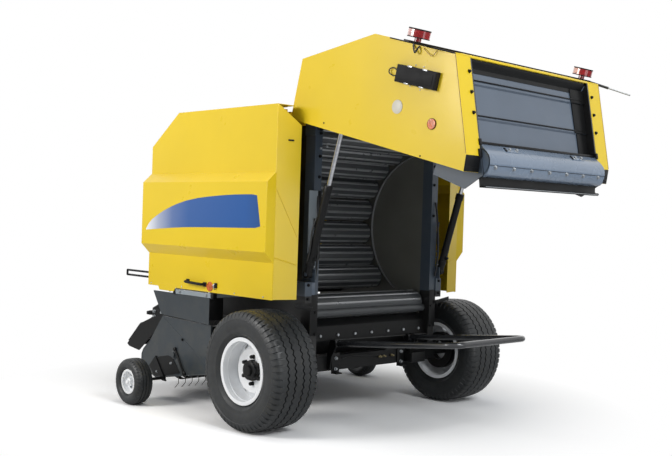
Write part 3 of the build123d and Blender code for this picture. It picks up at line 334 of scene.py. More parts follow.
def rubber(name, rgb):
    """Moulded rubber: fine grain, greyer where it has weathered, dust in its low parts."""
    f = Finish(name)
    worn = f.spread(f.noise(4, 6, 0.65), 0, 0.35, 0.75)
    base = f.mix(worn, shade(rgb, 0.7), shade(rgb, 1.5))
    film = f.spread(f.noise(16, 6, 0.7), 0, 0.5, 0.8, 0, 0.08)
    f.paint(f.mix(film, base, shade(DUST, 0.45)))
    f.roughen(f.noise(30, 4), 0.36, 0.56)
    f.bump(f.noise(260, 3), 0.0005, 0.4)
    return f.material


def plastic(name, rgb, rough=(0.4, 0.55), grain=600, sheen=0.5):
    """Moulded plastic with a fine leather grain."""
    f = Finish(name)
    f.paint(f.mix(f.spread(f.noise(6, 4), 0, *DRIFT), shade(rgb, 0.85), shade(rgb, 1.25)))
    f.roughen(f.noise(12, 4), *rough)
    f.bump(f.noise(grain, 2), 0.0003, 0.3)
    return f.set(Specular_IOR_Level=sheen).material


def lens(name, rgb):
    """Clear coloured plastic over a ribbed reflector."""
    f = Finish(name)
    rings = f.spread(f.noise(70, 2), 0, 0.35, 0.65)
    f.paint(f.mix(rings, shade(rgb, 0.7), shade(rgb, 1.35)))
    f.roughen(f.noise(20, 3), 0.08, 0.2)
    f.bump(rings, 0.0006, 0.5)
    return f.set(Coat_Weight=1.0, Coat_Roughness=0.03).material


def chrome(name):
    """Bright plating with faint wear along its length."""
    f = Finish(name)
    wear = f.spread(f.noise(6, 5, 0.6, (1, 1, 12)), 0, 0.35, 0.7)
    f.paint(f.mix(wear, (0.42, 0.43, 0.45), (0.6, 0.6, 0.62)))
    f.roughen(f.noise(40, 4, 0.6, (1, 1, 0.2)), 0.06, 0.18)
    return f.set(Metallic=1.0).material


def gradient_stripe(name, dark):
    """A printed stripe that fades from a deep colour to white towards the front."""
    f = Finish(name)
    along = f.spread(f.split(), "X", AXLE_X - 0.02, AXLE_X + 1.43)
    ramp = f.node("ShaderNodeValToRGB")
    f.join(along, 0, ramp, "Fac")
    stops = ramp.color_ramp.elements
    stops[0].color, stops[1].color = (*shade(dark, 0.8), 1), (0.9, 0.92, 0.94, 1)
    for place, mixed in ((0.12, 0.0), (0.6, 0.03), (0.75, 0.12), (0.88, 0.45)):
        stop = stops.new(place)
        stop.color = (*[c * (1 - mixed) + 0.88 * mixed for c in dark], 1)
    grain = f.node("ShaderNodeMix", data_type="RGBA", blend_type="MULTIPLY")
    grain.inputs[0].default_value = 0.1
    f.tree.links.new(ramp.outputs[0], grain.inputs[6])
    f.tree.links.new(f.noise(900, 2).outputs[0], grain.inputs[7])
    f.paint(grain)
    f.roughen(f.noise(5, 4), 0.3, 0.4)
    return f.material


PAINTS = {}


def make_paints():
    c = colours()
    PAINTS.update(
        yellow=coat("cover_yellow", c.yellow[:], (0.26, 0.38), 0.05, 0.03, gloss=0.18, sheen=0.35),
        blue_grey=coat("panel_blue_grey", c.blue_grey[:], (0.3, 0.42), 0.1, 0.08, 2.6, 0.2),
        # The housing's paint is the panel paint made 1.7 times brighter: a lit copy, painted light for its sheen
        housing=coat("housing_blue_grey_painted_light", shade(c.blue_grey[:], 1.7), (0.2, 0.34), 0.05, 0.1, 2.6, 0.5),
        # Tailgate walls: painted shade, black nearer the middle than 0.661 on their inner faces, which lie in
        # shadow
        wall=coat("wall_grey_and_painted_shade", c.post[:], (0.3, 0.45), 0.12, 0.08, 2.6, 0.2, beyond=0.661),
        post=coat("post_grey", c.post[:], (0.3, 0.45), 0.12, 0.08, 2.6, 0.2, foot=0.94),
        dark_plate=coat("plate_grey", c.dark_plate[:], (0.32, 0.5), 0.16, 0.06, 1.0, 0.15),
        black=coat("chassis_black", c.black[:], (0.35, 0.5), 0.012, 0.15, 1.0, 0.0, sheen=0.22),
        gloss=coat("hoop_black", tint(0x2A2C2F), (0.14, 0.24), 0.02, 0.1, 1.0, 0.7, metal=0.45),
        # Chamber walls: painted shade, black beyond 0.618 from the middle on their outer sides, which lie in
        # shadow
        inner=coat("chamber_grey_and_painted_shade", tint(0x66665F), (0.35, 0.5), 0.08, 0.15, 2.0, 0.1, inside=0.618),
        roll=bare_steel("roll_steel", c.roll[:], (0.3, 0.5), 0.2, (40, 0.6, 40), 0.1),
        # Rib steel is lighter than the rolls: partly wear-polished rib tops, partly a painted highlight that draws
        # bright lines along the rolls
        rib=bare_steel("rib_steel_worn_and_highlight", tint(0x9A9C9E), (0.25, 0.4), 0.5, (40, 0.6, 40), 0.1),
        tine=bare_steel("spring_steel", tint(0x6B6862), (0.35, 0.55), 0.8, (1, 30, 1), 0.5),
        zinc=bare_steel("zinc_plate", c.zinc[:], (0.28, 0.45), 0.85, (1, 9, 9), 0.12),
        light_grey=coat("rail_grey", tint(0x8E989F), (0.3, 0.45), 0.2, 0.1, 2.0),
        rubber=rubber("tyre_rubber", c.rubber[:]),
        hose=rubber("hose_rubber", shade(c.rubber[:], 0.5)),
        rim=coat("wheel_silver", c.rim[:], (0.3, 0.45), 0.06, 0.04, 0.9, 0.3),
        chrome=chrome("rod_chrome"),
        iron=coat("cast_iron_paint", tint(0x3A4046), (0.45, 0.6), 0.25, 0.12, 1.6, 0.05, 0.0012),
        guard=plastic("guard_plastic", tint(0x1B1B1A), (0.45, 0.6), 160, 0.3),
        plastic=plastic("box_plastic", tint(0x131314), (0.6, 0.75), sheen=0.25),
        red=lens("lamp_red", c.lens[:]),
        clear=lens("lamp_clear", tint(0xD9A9A2)),
        amber=lens("reflector_amber", c.reflector[:]),
        white=plastic("disc_white", tint(0xCFCBBE), (0.35, 0.5)),
        brass=bare_steel("fitting_brass", tint(0x8F8465), (0.25, 0.4), 0.9, (9, 9, 1), 0.1),
        lead=plastic("lead_brown", tint(0x8A6A2C), (0.4, 0.5), 300),
        stripe=gradient_stripe("door_stripe", c.stripe[:]),
    )


# Which finish each of the record's material slots takes on the plain steelwork
SLOT_PAINT = {
    "yellow": "yellow", "blue_grey": "blue_grey", "dark_plate": "dark_plate", "black_frame": "black",
    "roll_steel": "roll", "reel_steel": "tine", "light_grey": "light_grey", "tyre": "rubber",
    "rim_white": "rim", "chrome": "chrome", "gearbox_iron": "iron", "shaft_guard": "guard",
    "lamp_red": "red", "box_plastic": "plastic",
}


# ---- Meshes ---------------------------------------------------------------------------------
class Shape:
    """Points and faces of one piece, with a paint number for each face."""

    def __init__(self):
        self.points, self.faces, self.marks = [], [], []

    def add(self, points, faces, mark=0, place=None):
        start = len(self.points)
        self.points += [tuple(place @ Vector(p)) if place else tuple(p) for p in points]
        self.faces += [tuple(start + i for i in face) for face in faces]
        self.marks += [mark] * len(faces)
        return self

    def take(self, bm, mark=0, place=None):
        bm.verts.index_update()
        self.add([v.co[:] for v in bm.verts], [[v.index for v in f.verts] for f in bm.faces], mark, place)
        bm.free()
        return self

    def box(self, low, high, bevel=0.003, mark=0, place=None):
        bm = bmesh.new()
        bmesh.ops.create_cube(bm, size=1)
        low, high = Vector(low), Vector(high)
        for v in bm.verts:
            v.co = Vector(((low[i] + high[i]) / 2 + v.co[i] * (high[i] - low[i]) for i in range(3)))
        if bevel:
            bmesh.ops.bevel(bm, geom=bm.edges[:], offset=bevel, segments=2, profile=0.5, affect="EDGES")
        return self.take(bm, mark, place)

    def plate(self, outline, low, high, bevel=0.002, mark=0, place=None):
        """A flat outline (u, v) thickened from low to high along w."""
        bm = bmesh.new()
        bottom = [bm.verts.new((u, v, low)) for u, v in outline]
        top = [bm.verts.new((u, v, high)) for u, v in outline]
        bm.faces.new(bottom[::-1])
        bm.faces.new(top)
        for i in range(len(outline)):
            j = (i + 1) % len(outline)
            bm.faces.new((bottom[i], bottom[j], top[j], top[i]))
        bmesh.ops.recalc_face_normals(bm, faces=bm.faces[:])
        if bevel:
            bmesh.ops.bevel(bm, geom=bm.edges[:], offset=bevel, segments=1, affect="EDGES",
                            clamp_overlap=True)
        return self.take(bm, mark, place)

    def turned(self, profile, place, steps=48, mark=0):
        """A closed profile (radius, height) turned about its own Z."""
        points, faces, index = [], [], []
        for radius, height in profile:
            if radius < 1e-6:
                index.append([len(points)] * steps)
                points.append((0, 0, height))
            else:
                index.append([len(points) + k for k in range(steps)])
                points += [(radius * cos(2 * pi * k / steps), radius * sin(2 * pi * k / steps), height)
                           for k in range(steps)]
        for a in range(len(profile)):
            b = (a + 1) % len(profile)
            if profile[a][0] < 1e-6 and profile[b][0] < 1e-6:
                continue
            for k in range(steps):
                m = (k + 1) % steps
                ring = [index[a][k], index[a][m], index[b][m], index[b][k]]
                face = [p for n, p in enumerate(ring) if p != ring[n - 1]]
                if len(face) > 2:
                    faces.append(face)
        return self.add(points, faces, mark, place)

    def loft(self, rings, mark=0):
        """Skins rings that have the same number of points, and closes both ends."""
        size, points, faces = len(rings[0]), [p for ring in rings for p in ring], []
        for start in range(0, len(points) - size, size):
            faces += [(start + k, start + m, start + size + m, start + size + k)
                      for k, m in enumerate([*range(1, size), 0])]
        faces += [tuple(range(size))[::-1], tuple(range(len(points) - size, len(points)))]
        return self.add(points, faces, mark)

    def tube(self, path, radius, sides=10, mark=0, smooth=0):
        """A round tube along points; smooth makes that many steps between each two."""
        path = [Vector(p) for p in path]
        if smooth:
            fine = []
            ends = [path[0], *path, path[-1]]
            for p0, p1, p2, p3 in zip(ends, ends[1:], ends[2:], ends[3:]):
                for k in range(smooth):
                    t = k / smooth
                    fine.append(0.5 * (2 * p1 + (p2 - p0) * t + (2 * p0 - 5 * p1 + 4 * p2 - p3) * t * t
                                       + (3 * p1 - p0 - 3 * p2 + p3) * t ** 3))
            path = fine + [path[-1]]
        rings, normal = [], (path[1] - path[0]).orthogonal().normalized()
        for behind, p, ahead in zip([path[0], *path], path, [*path[1:], path[-1]]):
            way = (ahead - behind).normalized()
            normal = (normal - way * normal.dot(way)).normalized()
            side = way.cross(normal)
            rings.append([p + (normal * cos(2 * pi * k / sides) + side * sin(2 * pi * k / sides)) * radius
                          for k in range(sides)])
        return self.loft(rings, mark)

    def mirrored(self):
        """Adds the same shape on the other side of the machine."""
        start = len(self.points)
        self.points += [(x, -y, z) for x, y, z in self.points]
        self.faces += [tuple(start + i for i in face[::-1]) for face in self.faces]
        self.marks *= 2

    def make(self, name, body, paints, slot=None, sharp=35):
        mesh = bpy.data.meshes.new(name)
        mesh.from_pydata(self.points, [], self.faces)
        mesh.polygons.foreach_set("material_index", self.marks)
        bm = bmesh.new()
        bm.from_mesh(mesh)
        bmesh.ops.remove_doubles(bm, verts=bm.verts[:], dist=1e-5)
        bmesh.ops.dissolve_degenerate(bm, edges=bm.edges[:], dist=1e-6)
        bmesh.ops.recalc_face_normals(bm, faces=bm.faces[:])
        bm.to_mesh(mesh)
        bm.free()
        for paint in [paints] if isinstance(paints, str) else paints:
            mesh.materials.append(PAINTS[paint])
        return settle(bpy.data.objects.new(name, mesh), body, sharp)


def settle(obj, body, sharp=35):
    """Links a finished piece, smooths it but for its sharp edges, and sets it on its body."""
    if obj.name not in bpy.context.scene.collection.objects:
        bpy.context.scene.collection.objects.link(obj)
    mesh = obj.data
    mesh.polygons.foreach_set("use_smooth", [True] * len(mesh.polygons))
    mesh.set_sharp_from_angle(angle=radians(sharp))
    mesh.update()
    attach(obj, body)
    return obj


# ---- Geometry Nodes -------------------------------------------------------------------------
def new_tree(name, **inputs):
    """A node tree that takes points, a part, a paint and named inputs of the given socket types."""
    tree = bpy.data.node_groups.new(name, "GeometryNodeTree")
    kinds = {"Geometry": "Geometry", "Part": "Object", **inputs, "Paint": "Material"}
    for label, kind in kinds.items():
        tree.interface.new_socket(label, in_out="INPUT", socket_type="NodeSocket" + kind)
    tree.interface.new_socket("Geometry", in_out="OUTPUT", socket_type="NodeSocketGeometry")
    return tree, tree.nodes.new("NodeGroupInput"), tree.nodes.new, tree.links.new


def duplicated(tree, given):
    """Makes Count points of each given point."""
    many = tree.nodes.new("GeometryNodeDuplicateElements")
    many.domain = "POINT"
    tree.links.new(given.outputs["Geometry"], many.inputs["Geometry"])
    tree.links.new(given.outputs["Count"], many.inputs["Amount"])
    return many


def copies_end(tree, given, points, turn=None, size=None):
    """Ends a tree: the part set on the points, made real, merged by distance and painted."""
    nodes, link = tree.nodes, tree.links.new
    part = nodes.new("GeometryNodeObjectInfo")
    link(given.outputs["Part"], part.inputs["Object"])
    place = nodes.new("GeometryNodeInstanceOnPoints")
    link(points, place.inputs["Points"])
    link(part.outputs["Geometry"], place.inputs["Instance"])
    for source, socket in ((turn, "Rotation"), (size, "Scale")):
        if source:
            link(source, place.inputs[socket])
    real = nodes.new("GeometryNodeRealizeInstances")
    merge = nodes.new("GeometryNodeMergeByDistance")
    merge.inputs["Distance"].default_value = 2e-5
    paint = nodes.new("GeometryNodeSetMaterial")
    output = nodes.new("NodeGroupOutput")
    link(place.outputs["Instances"], real.inputs["Geometry"])
    link(real.outputs["Geometry"], merge.inputs["Geometry"])
    link(merge.outputs["Geometry"], paint.inputs["Geometry"])
    link(given.outputs["Paint"], paint.inputs["Material"])
    link(paint.outputs["Geometry"], output.inputs["Geometry"])
    return tree


def fastener_tree():
    """Sets a copy of a part on each point, its Z along the point's aim."""
    tree, given, node, link = new_tree("set_on_points", Size="Float")
    aim = node("GeometryNodeInputNamedAttribute")
    aim.data_type = "FLOAT_VECTOR"
    aim.inputs["Name"].default_value = "aim"
    turn = node("FunctionNodeAlignRotationToVector")
    turn.axis = "Z"
    link(aim.outputs["Attribute"], turn.inputs["Vector"])
    return copies_end(tree, given, given.outputs["Geometry"], turn.outputs["Rotation"],
                      given.outputs["Size"])


def round_tree():
    """Turns copies of a part about each point's Y axis, evenly round the circle."""
    tree, given, node, link = new_tree("turned_round", Count="Int", Start="Float")
    many = duplicated(tree, given)
    step = node("ShaderNodeMath")
    step.operation = "DIVIDE"
    step.inputs[0].default_value = 2 * pi
    link(given.outputs["Count"], step.inputs[1])
    angle = node("ShaderNodeMath")
    angle.operation = "MULTIPLY_ADD"
    link(many.outputs["Duplicate Index"], angle.inputs[0])
    link(step.outputs[0], angle.inputs[1])
    link(given.outputs["Start"], angle.inputs[2])
    turn = node("ShaderNodeCombineXYZ")
    link(angle.outputs[0], turn.inputs["Y"])
    return copies_end(tree, given, many.outputs["Geometry"], turn.outputs["Vector"])


def row_tree():
    """Lays copies of a part in a straight row from each point."""
    tree, given, node, link = new_tree("laid_in_a_row", Count="Int", Step="Vector")
    many = duplicated(tree, given)
    scale = node("ShaderNodeVectorMath")
    scale.operation = "SCALE"
    link(given.outputs["Step"], scale.inputs[0])
    link(many.outputs["Duplicate Index"], scale.inputs["Scale"])
    move = node("GeometryNodeSetPosition")
    link(many.outputs["Geometry"], move.inputs["Geometry"])
    link(scale.outputs[0], move.inputs["Offset"])
    return copies_end(tree, given, move.outputs["Geometry"])


TREES = {}


def tree_of(kind):
    if kind not in TREES:
        TREES[kind] = {"points": fastener_tree, "round": round_tree, "row": row_tree}[kind]()
    return TREES[kind]


def grown(name, kind, spots, part, paint, aims=None, **values):
    """An object with the plain mesh that a tree makes of a part at the given spots."""
    mesh = bpy.data.meshes.new(name)
    mesh.from_pydata([tuple(s) for s in spots], [], [])
    if aims:
        aim = mesh.attributes.new("aim", "FLOAT_VECTOR", "POINT")
        aim.data.foreach_set("vector", [c for a in aims for c in a])
    obj = bpy.data.objects.new(name, mesh)
    bpy.context.scene.collection.objects.link(obj)
    modifier = obj.modifiers.new("copies", "NODES")
    modifier.node_group = tree_of(kind)
    values = {**values, "Part": part, "Paint": PAINTS[paint]}
    for item in modifier.node_group.interface.items_tree:
        if item.in_out == "INPUT" and item.name in values:
            value = values[item.name]
            modifier[item.identifier] = list(value) if isinstance(value, (tuple, Vector)) else value
    bpy.context.view_layer.update()
    graph = bpy.context.evaluated_depsgraph_get()
    made = bpy.data.meshes.new_from_object(obj.evaluated_get(graph))
    made.name = name
    obj.modifiers.clear()
    obj.data = made
    bpy.data.meshes.remove(mesh)
    if "aim" in made.attributes:
        made.attributes.remove(made.attributes["aim"])
    return obj


def part_of(shape):
    """A shape as a loose object for a tree to copy. It is not linked, so it isn't shown."""
    mesh = bpy.data.meshes.new("part")
    mesh.from_pydata(shape.points, [], shape.faces)
    bm = bmesh.new()
    bm.from_mesh(mesh)
    bmesh.ops.remove_doubles(bm, verts=bm.verts[:], dist=1e-5)
    bm.to_mesh(mesh)
    bm.free()
    return bpy.data.objects.new("part", mesh)


def drop(part):
    """Deletes a loose object and its mesh."""
    mesh = part.data
    bpy.data.objects.remove(part)
    bpy.data.meshes.remove(mesh)


# ---- Small parts that repeat ----------------------------------------------------------------
def hex_bolt(across=1.0):
    """A hexagon head on its washer, standing on z = 0."""
    shape = Shape()
    r, base = across / 3 ** 0.5, across * 0.12
    washer = [(0, 0), (r * 1.25, 0), (r * 1.25, across * 0.08), (r * 1.18, base), (0, base)]
    shape.turned(washer, Matrix(), 16)
    points, faces = [], []
    for radius, height in ((r, base), (r, base + across * 0.5), (r * 0.86, base + across * 0.62)):
        points += [(radius * cos(pi / 3 * k), radius * sin(pi / 3 * k), height) for k in range(6)]
    for ring in range(2):
        for k in range(6):
            m = (k + 1) % 6
            faces.append((ring * 6 + k, ring * 6 + m, ring * 6 + 6 + m, ring * 6 + 6 + k))
    faces.append(tuple(range(12, 18)))
    return shape.add(points, faces)


def dome_head():
    """A low round head, one unit across, standing on z = 0."""
    r = 0.5
    arc = [(r * cos(pi / 10 * k), r * 0.6 * sin(pi / 10 * k)) for k in range(5)]
    return Shape().turned([(0, 0), *arc, (0, r * 0.6)], Matrix(), 14)


FASTENERS = []


def bolts(body, spots, aim, size=None, kind="hex", paint="zinc"):
    """Notes fasteners for the last operator: spots with one aim, or a list of (spot, aim)."""
    pairs = spots if aim is None else [(s, aim) for s in spots]
    for spot, way in pairs:
        FASTENERS.append((body, kind, paint, round(size or sizes().bolt_size, 5), tuple(spot), tuple(way)))


# ---- Operators ------------------------------------------------------------------------------
class PaintSteelwork(bpy.types.Operator):
    """Gives every plain CAD piece its finish"""
    bl_idname = "baler.paint_steelwork"
    bl_label = "Paint Steelwork"

    def execute(self, context):
        make_paints()
        for node, obj in frame["nodes"].items():
            paint = PAINTS[NODE_PAINT.get(node) or SLOT_PAINT[NODE_SLOT[node]]]
            for slot in obj.material_slots:
                slot.material = paint
            if not obj.material_slots:
                obj.data.materials.append(paint)
            obj.data.polygons.foreach_set("use_smooth", [False] * len(obj.data.polygons))
        return {"FINISHED"}


# Pieces whose finish differs from the rest of their slot
NODE_PAINT = {"rear_posts": "post", "tailgate_walls": "wall", "lamp_bar": "black", "chamber_walls": "inner",
              "cross_sheet": "black", "feeder_pan": "black", "bale_hoop": "gloss"}
# The record's slot of each CAD piece
NODE_SLOT = {
    **dict.fromkeys(("roof_deck", "front_cover", "net_box_lid", "side_door_left", "side_door_right",
                     "tailgate_skin_left", "tailgate_skin_right", "tailgate_cover"), "yellow"),
    **dict.fromkeys(("end_panels", "end_roll_cover", "tailgate_walls", "rear_posts", "lamp_bar"),
                    "blue_grey"),
    **dict.fromkeys(("side_skirts", "pickup_plates", "chamber_walls", "cross_sheet", "feeder_pan"),
                    "dark_plate"),
    **dict.fromkeys(("axle_beam", "drawbar", "front_cross_beam", "hose_holder", "jack_sleeve",
                     "hoop_brackets", "bale_hoop", "pickup_frame", "wind_guard", "gauge_arms",
                     "cylinder_barrel_left", "cylinder_barrel_right"), "black_frame"),
    **dict.fromkeys(("front_rolls", "tailgate_rolls"), "roll_steel"),
    "tine_reel": "reel_steel", "door_rails": "light_grey", "jack_leg": "light_grey",
    **dict.fromkeys(("tyre_left", "tyre_right", "gauge_tyre_left", "gauge_tyre_right"), "tyre"),
    **dict.fromkeys(("rim_left", "rim_right", "gauge_rim_left", "gauge_rim_right"), "rim_white"),
    "cylinder_rod_left": "chrome", "cylinder_rod_right": "chrome", "gearbox": "gearbox_iron",
    "input_shaft": "shaft_guard", "tail_lamps": "lamp_red", "side_box": "box_plastic",
}


# Radii that the tyres' sections are drawn for
DRAWN_R, GAUGE_DRAWN_R = 0.425, 0.18


def tread_pitch(radius, half, profile, grooves, pitches, depth, swing, notch):
    """One pitch of a ribbed tyre: zigzag grooves round the tread and a notch in each shoulder.

    profile runs from the bead to the edge of the crown as (radius, y, notch depth) at y > 0.
    """
    arc = 2 * pi / pitches
    crown = profile[-1][1]

    def crown_r(y):
        edge = profile[-1][0]
        return radius - (radius - edge) * (abs(y) / crown) ** 2.4

    def section(phase, notched):
        zig = (4 * abs(phase - 0.5) - 1) * swing
        line = [(r - (d * notch if notched else 0), y) for r, y, d in profile]
        tread = []
        for y, width, sign in grooves:
            c, h = y + zig * sign, width / 2
            tread += [(crown_r(c - h), c - h), (radius - depth, c - h * 0.6),
                      (radius - depth, c + h * 0.6), (crown_r(c + h), c + h)]
        left = [(r, -y) for r, y in line]
        wall = 0.02 * radius / DRAWN_R
        inside = [(radius - 1.3 * wall - depth, crown * 0.8), (profile[len(profile) // 2][0], half - wall),
                  (profile[0][0], profile[0][1] - wall)]
        return left + tread + line[::-1] + inside[::-1] + [(r, -y) for r, y in inside]

    columns = [(0, False), (0.34, False), (0.40, True), (0.5, True), (0.60, True), (0.66, False), (1, False)]
    points = []
    for phase, notched in columns:
        line = section(phase, notched)
        count = len(line)
        a = arc * phase
        points += [(r * sin(a), y, r * cos(a)) for r, y in line]
    faces = []
    for c in range(len(columns) - 1):
        for k in range(count):
            m = (k + 1) % count
            faces.append((c * count + k, c * count + m, (c + 1) * count + m, (c + 1) * count + k))
    return Shape().add(points, faces)


class MakeTyres(bpy.types.Operator):
    """Moulds the treads of the two main tyres and the two gauge tyres"""
    bl_idname = "baler.make_tyres"
    bl_label = "Make Tyres"

    def execute(self, context):
        s = sizes()

        def mould(tyre, tread, body, pitch, count):
            for side in ("left", "right"):
                name = tyre + side
                obj = grown(tread + side, "round", [middle(name)], pitch, "rubber", Count=count)
                settle(tidied(obj), body + side, 30)
                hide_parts(name)
            drop(pitch)

        k = WHEEL_R / DRAWN_R
        profile = [
            (0.2165, 0.150, 0), (0.2175, 0.155, 0), (0.2365, 0.1555, 0), (0.243, 0.163, 0),
            (0.252, 0.1755, 0), (0.266, 0.184, 0), (0.268, 0.1865, 0), (0.276, 0.1885, 0),
            (0.279, 0.1880, 0), (0.298, 0.1925, 0), (0.318, 0.1945, 0), (0.340, 0.1945, 0),
            (0.358, 0.192, 0), (0.3605, 0.1935, 0), (0.371, 0.1915, 0.4), (0.389, 0.186, 0.9),
            (0.402, 0.1795, 1), (0.4115, 0.170, 1), (0.4165, 0.158, 0.9), (0.4185, 0.141, 0.35),
            (0.4192, 0.130, 0),
        ]
        profile = [(r * k, min(y, WHEEL_HALF - 0.0005), d) for r, y, d in profile]
        grooves = [(-0.098, 0.012, 1), (-0.036, 0.012, -1), (0.036, 0.012, 1), (0.098, 0.012, -1)]
        pitch = part_of(tread_pitch(WHEEL_R, WHEEL_HALF, profile, grooves, s.tread_pitches,
                                    s.tread_depth, 0.007, 0.010))
        mould("tyre_", "tread_", "wheel_", pitch, s.tread_pitches)
        small = [
            (0.0885, 0.040, 0), (0.0885, 0.046, 0), (0.097, 0.0465, 0), (0.102, 0.056, 0),
            (0.110, 0.067, 0), (0.113, 0.0695, 0), (0.124, 0.0735, 0), (0.137, 0.0745, 0),
            (0.149, 0.0725, 0), (0.160, 0.0675, 0.5), (0.169, 0.0605, 1), (0.1745, 0.052, 0.8),
            (0.1765, 0.046, 0.2), (0.177, 0.043, 0),
        ]
        small = [(r * GAUGE_R / GAUGE_DRAWN_R, min(y, GAUGE_HALF - 0.0005), d) for r, y, d in small]
        grooves = [(-0.027, 0.007, 1), (0.0, 0.007, -1), (0.027, 0.007, 1)]
        pitch = part_of(tread_pitch(GAUGE_R, GAUGE_HALF, small, grooves, s.gauge_pitches,
                                    0.006, 0.0022, 0.005))
        mould("gauge_tyre_", "gauge_tread_", "gauge_wheel_", pitch, s.gauge_pitches)
        return {"FINISHED"}


def tidied(obj):
    """Turns a grown piece's faces outwards."""
    bm = bmesh.new()
    bm.from_mesh(obj.data)
    bmesh.ops.remove_doubles(bm, verts=bm.verts[:], dist=1e-5)
    bmesh.ops.recalc_face_normals(bm, faces=bm.faces[:])
    bm.to_mesh(obj.data)
    bm.free()
    return obj


class FitWheels(bpy.types.Operator):
    """Fits nuts, hubs and rolled rim edges to all four wheels, and valves to the main ones"""
    bl_idname = "baler.fit_wheels"
    bl_label = "Fit Wheels"

    def execute(self, context):
        for side, sign in SIDES:
            centre = middle("tyre_" + side)
            centre.z = WHEEL_R
            out = basis(centre, (0, sign, 0), UP)
            body = "wheel_" + side
            hub = Shape()
            hub.turned([(0.0635, 0.060), (0.072, 0.060), (0.074, 0.064), (0.074, 0.076), (0.0665, 0.082),
                        (0.0665, 0.102), (0.058, 0.108), (0.036, 0.108), (0.036, 0.1015), (0.0635, 0.1015)],
                       out, 40)
            hub.turned([(0.0348, 0.100), (0.039, 0.100), (0.039, 0.118), (0.034, 0.1245), (0.0, 0.1265),
                        (0.0, 0.1202), (0.0348, 0.1202)], out, 32)
            hub.turned([(0.079, -0.140), (0.148, -0.140), (0.150, -0.136), (0.150, -0.078), (0.146, -0.072),
                        (0.079, -0.072)], out, 48)
            hub.make("hub_" + side, body, "black", "black_frame")
            lip = Shape()
            for face in (1, -1):
                edge = basis(centre + Vector((0, 0.168 * sign * face, 0)), (0, sign * face, 0), UP)
                lip.turned([(0.2165, -0.004), (0.2165, 0.0004), (0.220, 0.0014), (0.230, 0.0014),
                            (0.2352, 0.0), (0.2352, -0.0055), (0.230, -0.0006), (0.220, -0.0006)], edge, 96)
            ridge = [(0.2092, 0.118), (0.2092, 0.128), (0.2058, 0.125), (0.2058, 0.121)]
            lip.turned(ridge, out, 96)
            lip.tube([out @ Vector((0.188, 0.03, 0.045)), out @ Vector((0.190, 0.031, 0.075)),
                      out @ Vector((0.184, 0.030, 0.092))], 0.0045, 8, 1, 3)
            lip.make("rim_edge_" + side, body, ["rim", "hose"], "rim_white")
            outwards = Matrix.Rotation(radians(-90 * sign), 4, "X")
            nut = part_of(Shape().turned(
                [(0, 0.058), (0.0155, 0.058), (0.0155, 0.063), (0.0135, 0.065), (0.0135, 0.084),
                 (0.0115, 0.090), (0.006, 0.0925), (0, 0.0925)],
                outwards @ Matrix.Translation((0.094, 0, 0)), 20))
            obj = grown("wheel_nuts_" + side, "round", [centre], nut, "plastic", Count=6, Start=0.52)
            settle(tidied(obj), body, 30)
            drop(nut)
            middle_gauge = middle("gauge_tyre_" + side)
            gauge = basis(middle_gauge, (0, sign, 0), UP)
            cap = Shape()
            cap.turned([(0.0125, 0.0455), (0.031, 0.0455), (0.031, 0.050), (0.024, 0.056), (0.0125, 0.056)],
                       gauge, 28)
            cap.turned([(0, 0.056), (0.018, 0.056), (0.018, 0.060), (0.015, 0.066), (0, 0.066)], gauge, 20)
            for face in (1, -1):
                edge = basis(middle_gauge + Vector((0, 0.055 * sign * face, 0)), (0, sign * face, 0), UP)
                cap.turned([(0.080, -0.003), (0.080, 0.0012), (0.093, 0.002), (0.0965, 0.0),
                            (0.0965, -0.004), (0.092, -0.0002)], edge, 64)
            cap.make("gauge_hub_" + side, "gauge_wheel_" + side, "rim", "rim_white")
            bolt = hex_bolt(0.015)
            nut = part_of(Shape().add(bolt.points, bolt.faces, 0,
                                      outwards @ Matrix.Translation((0.050, 0, 0.012))))
            obj = grown("gauge_nuts_" + side, "round", [middle_gauge], nut, "zinc", Count=5)
            settle(tidied(obj), "gauge_wheel_" + side, 30)
            drop(nut)
        return {"FINISHED"}


class RibRolls(bpy.types.Operator):
    """Adds the ribs that run along each chamber roll"""
    bl_idname = "baler.rib_rolls"
    bl_label = "Rib Rolls"

    def execute(self, context):
        s = sizes()
        h, w = s.rib_height, 0.011
        r = ROLL_R - 0.0012
        for node, body, half in (("front_rolls", "frame", 0.603), ("tailgate_rolls", "tailgate", 0.642)):
            rings = []
            for y, tall in ((0.01 - half, 0.1), (0.02 - half, 1), (half - 0.02, 1), (half - 0.01, 0.1)):
                top = r + h * tall
                rings.append([(-w, y, r), (w, y, r), (w * 0.45, y, top), (-w * 0.45, y, top)])
            part = part_of(Shape().loft(rings))
            obj = grown(node.replace("rolls", "roll_ribs"), "round", roll_centres(node), part, "rib",
                        Count=s.roll_ribs)
            settle(tidied(obj), body, 20)
            drop(part)
        return {"FINISHED"}


# The bale's middle, the circle of the rolls round it, the angle from roll to roll, and the floor roll
ROLL_R = 0.090
BALE = (-0.060, 1.450)
ROLL_AT = 0.700
ROLL_STEP = 16.4
FLOOR_ROLL = (0.030, 0.845)


def round_bale(reach, angle):
    """The (x, z) point at a distance from the bale's middle, at an angle in radians."""
    return BALE[0] + reach * cos(angle), BALE[1] + reach * sin(angle)


def roll_centres(node):
    """Middles of the rolls round the bale's circle, and of the floor roll."""
    first, count, place = (-38, 8, at) if node == "front_rolls" else (105, 7, on_gate)
    spots = [round_bale(ROLL_AT, radians(first + ROLL_STEP * k)) for k in range(count)]
    if node == "front_rolls":
        spots.append(FLOOR_ROLL)
    return [place(x, 0, z) for x, z in spots]


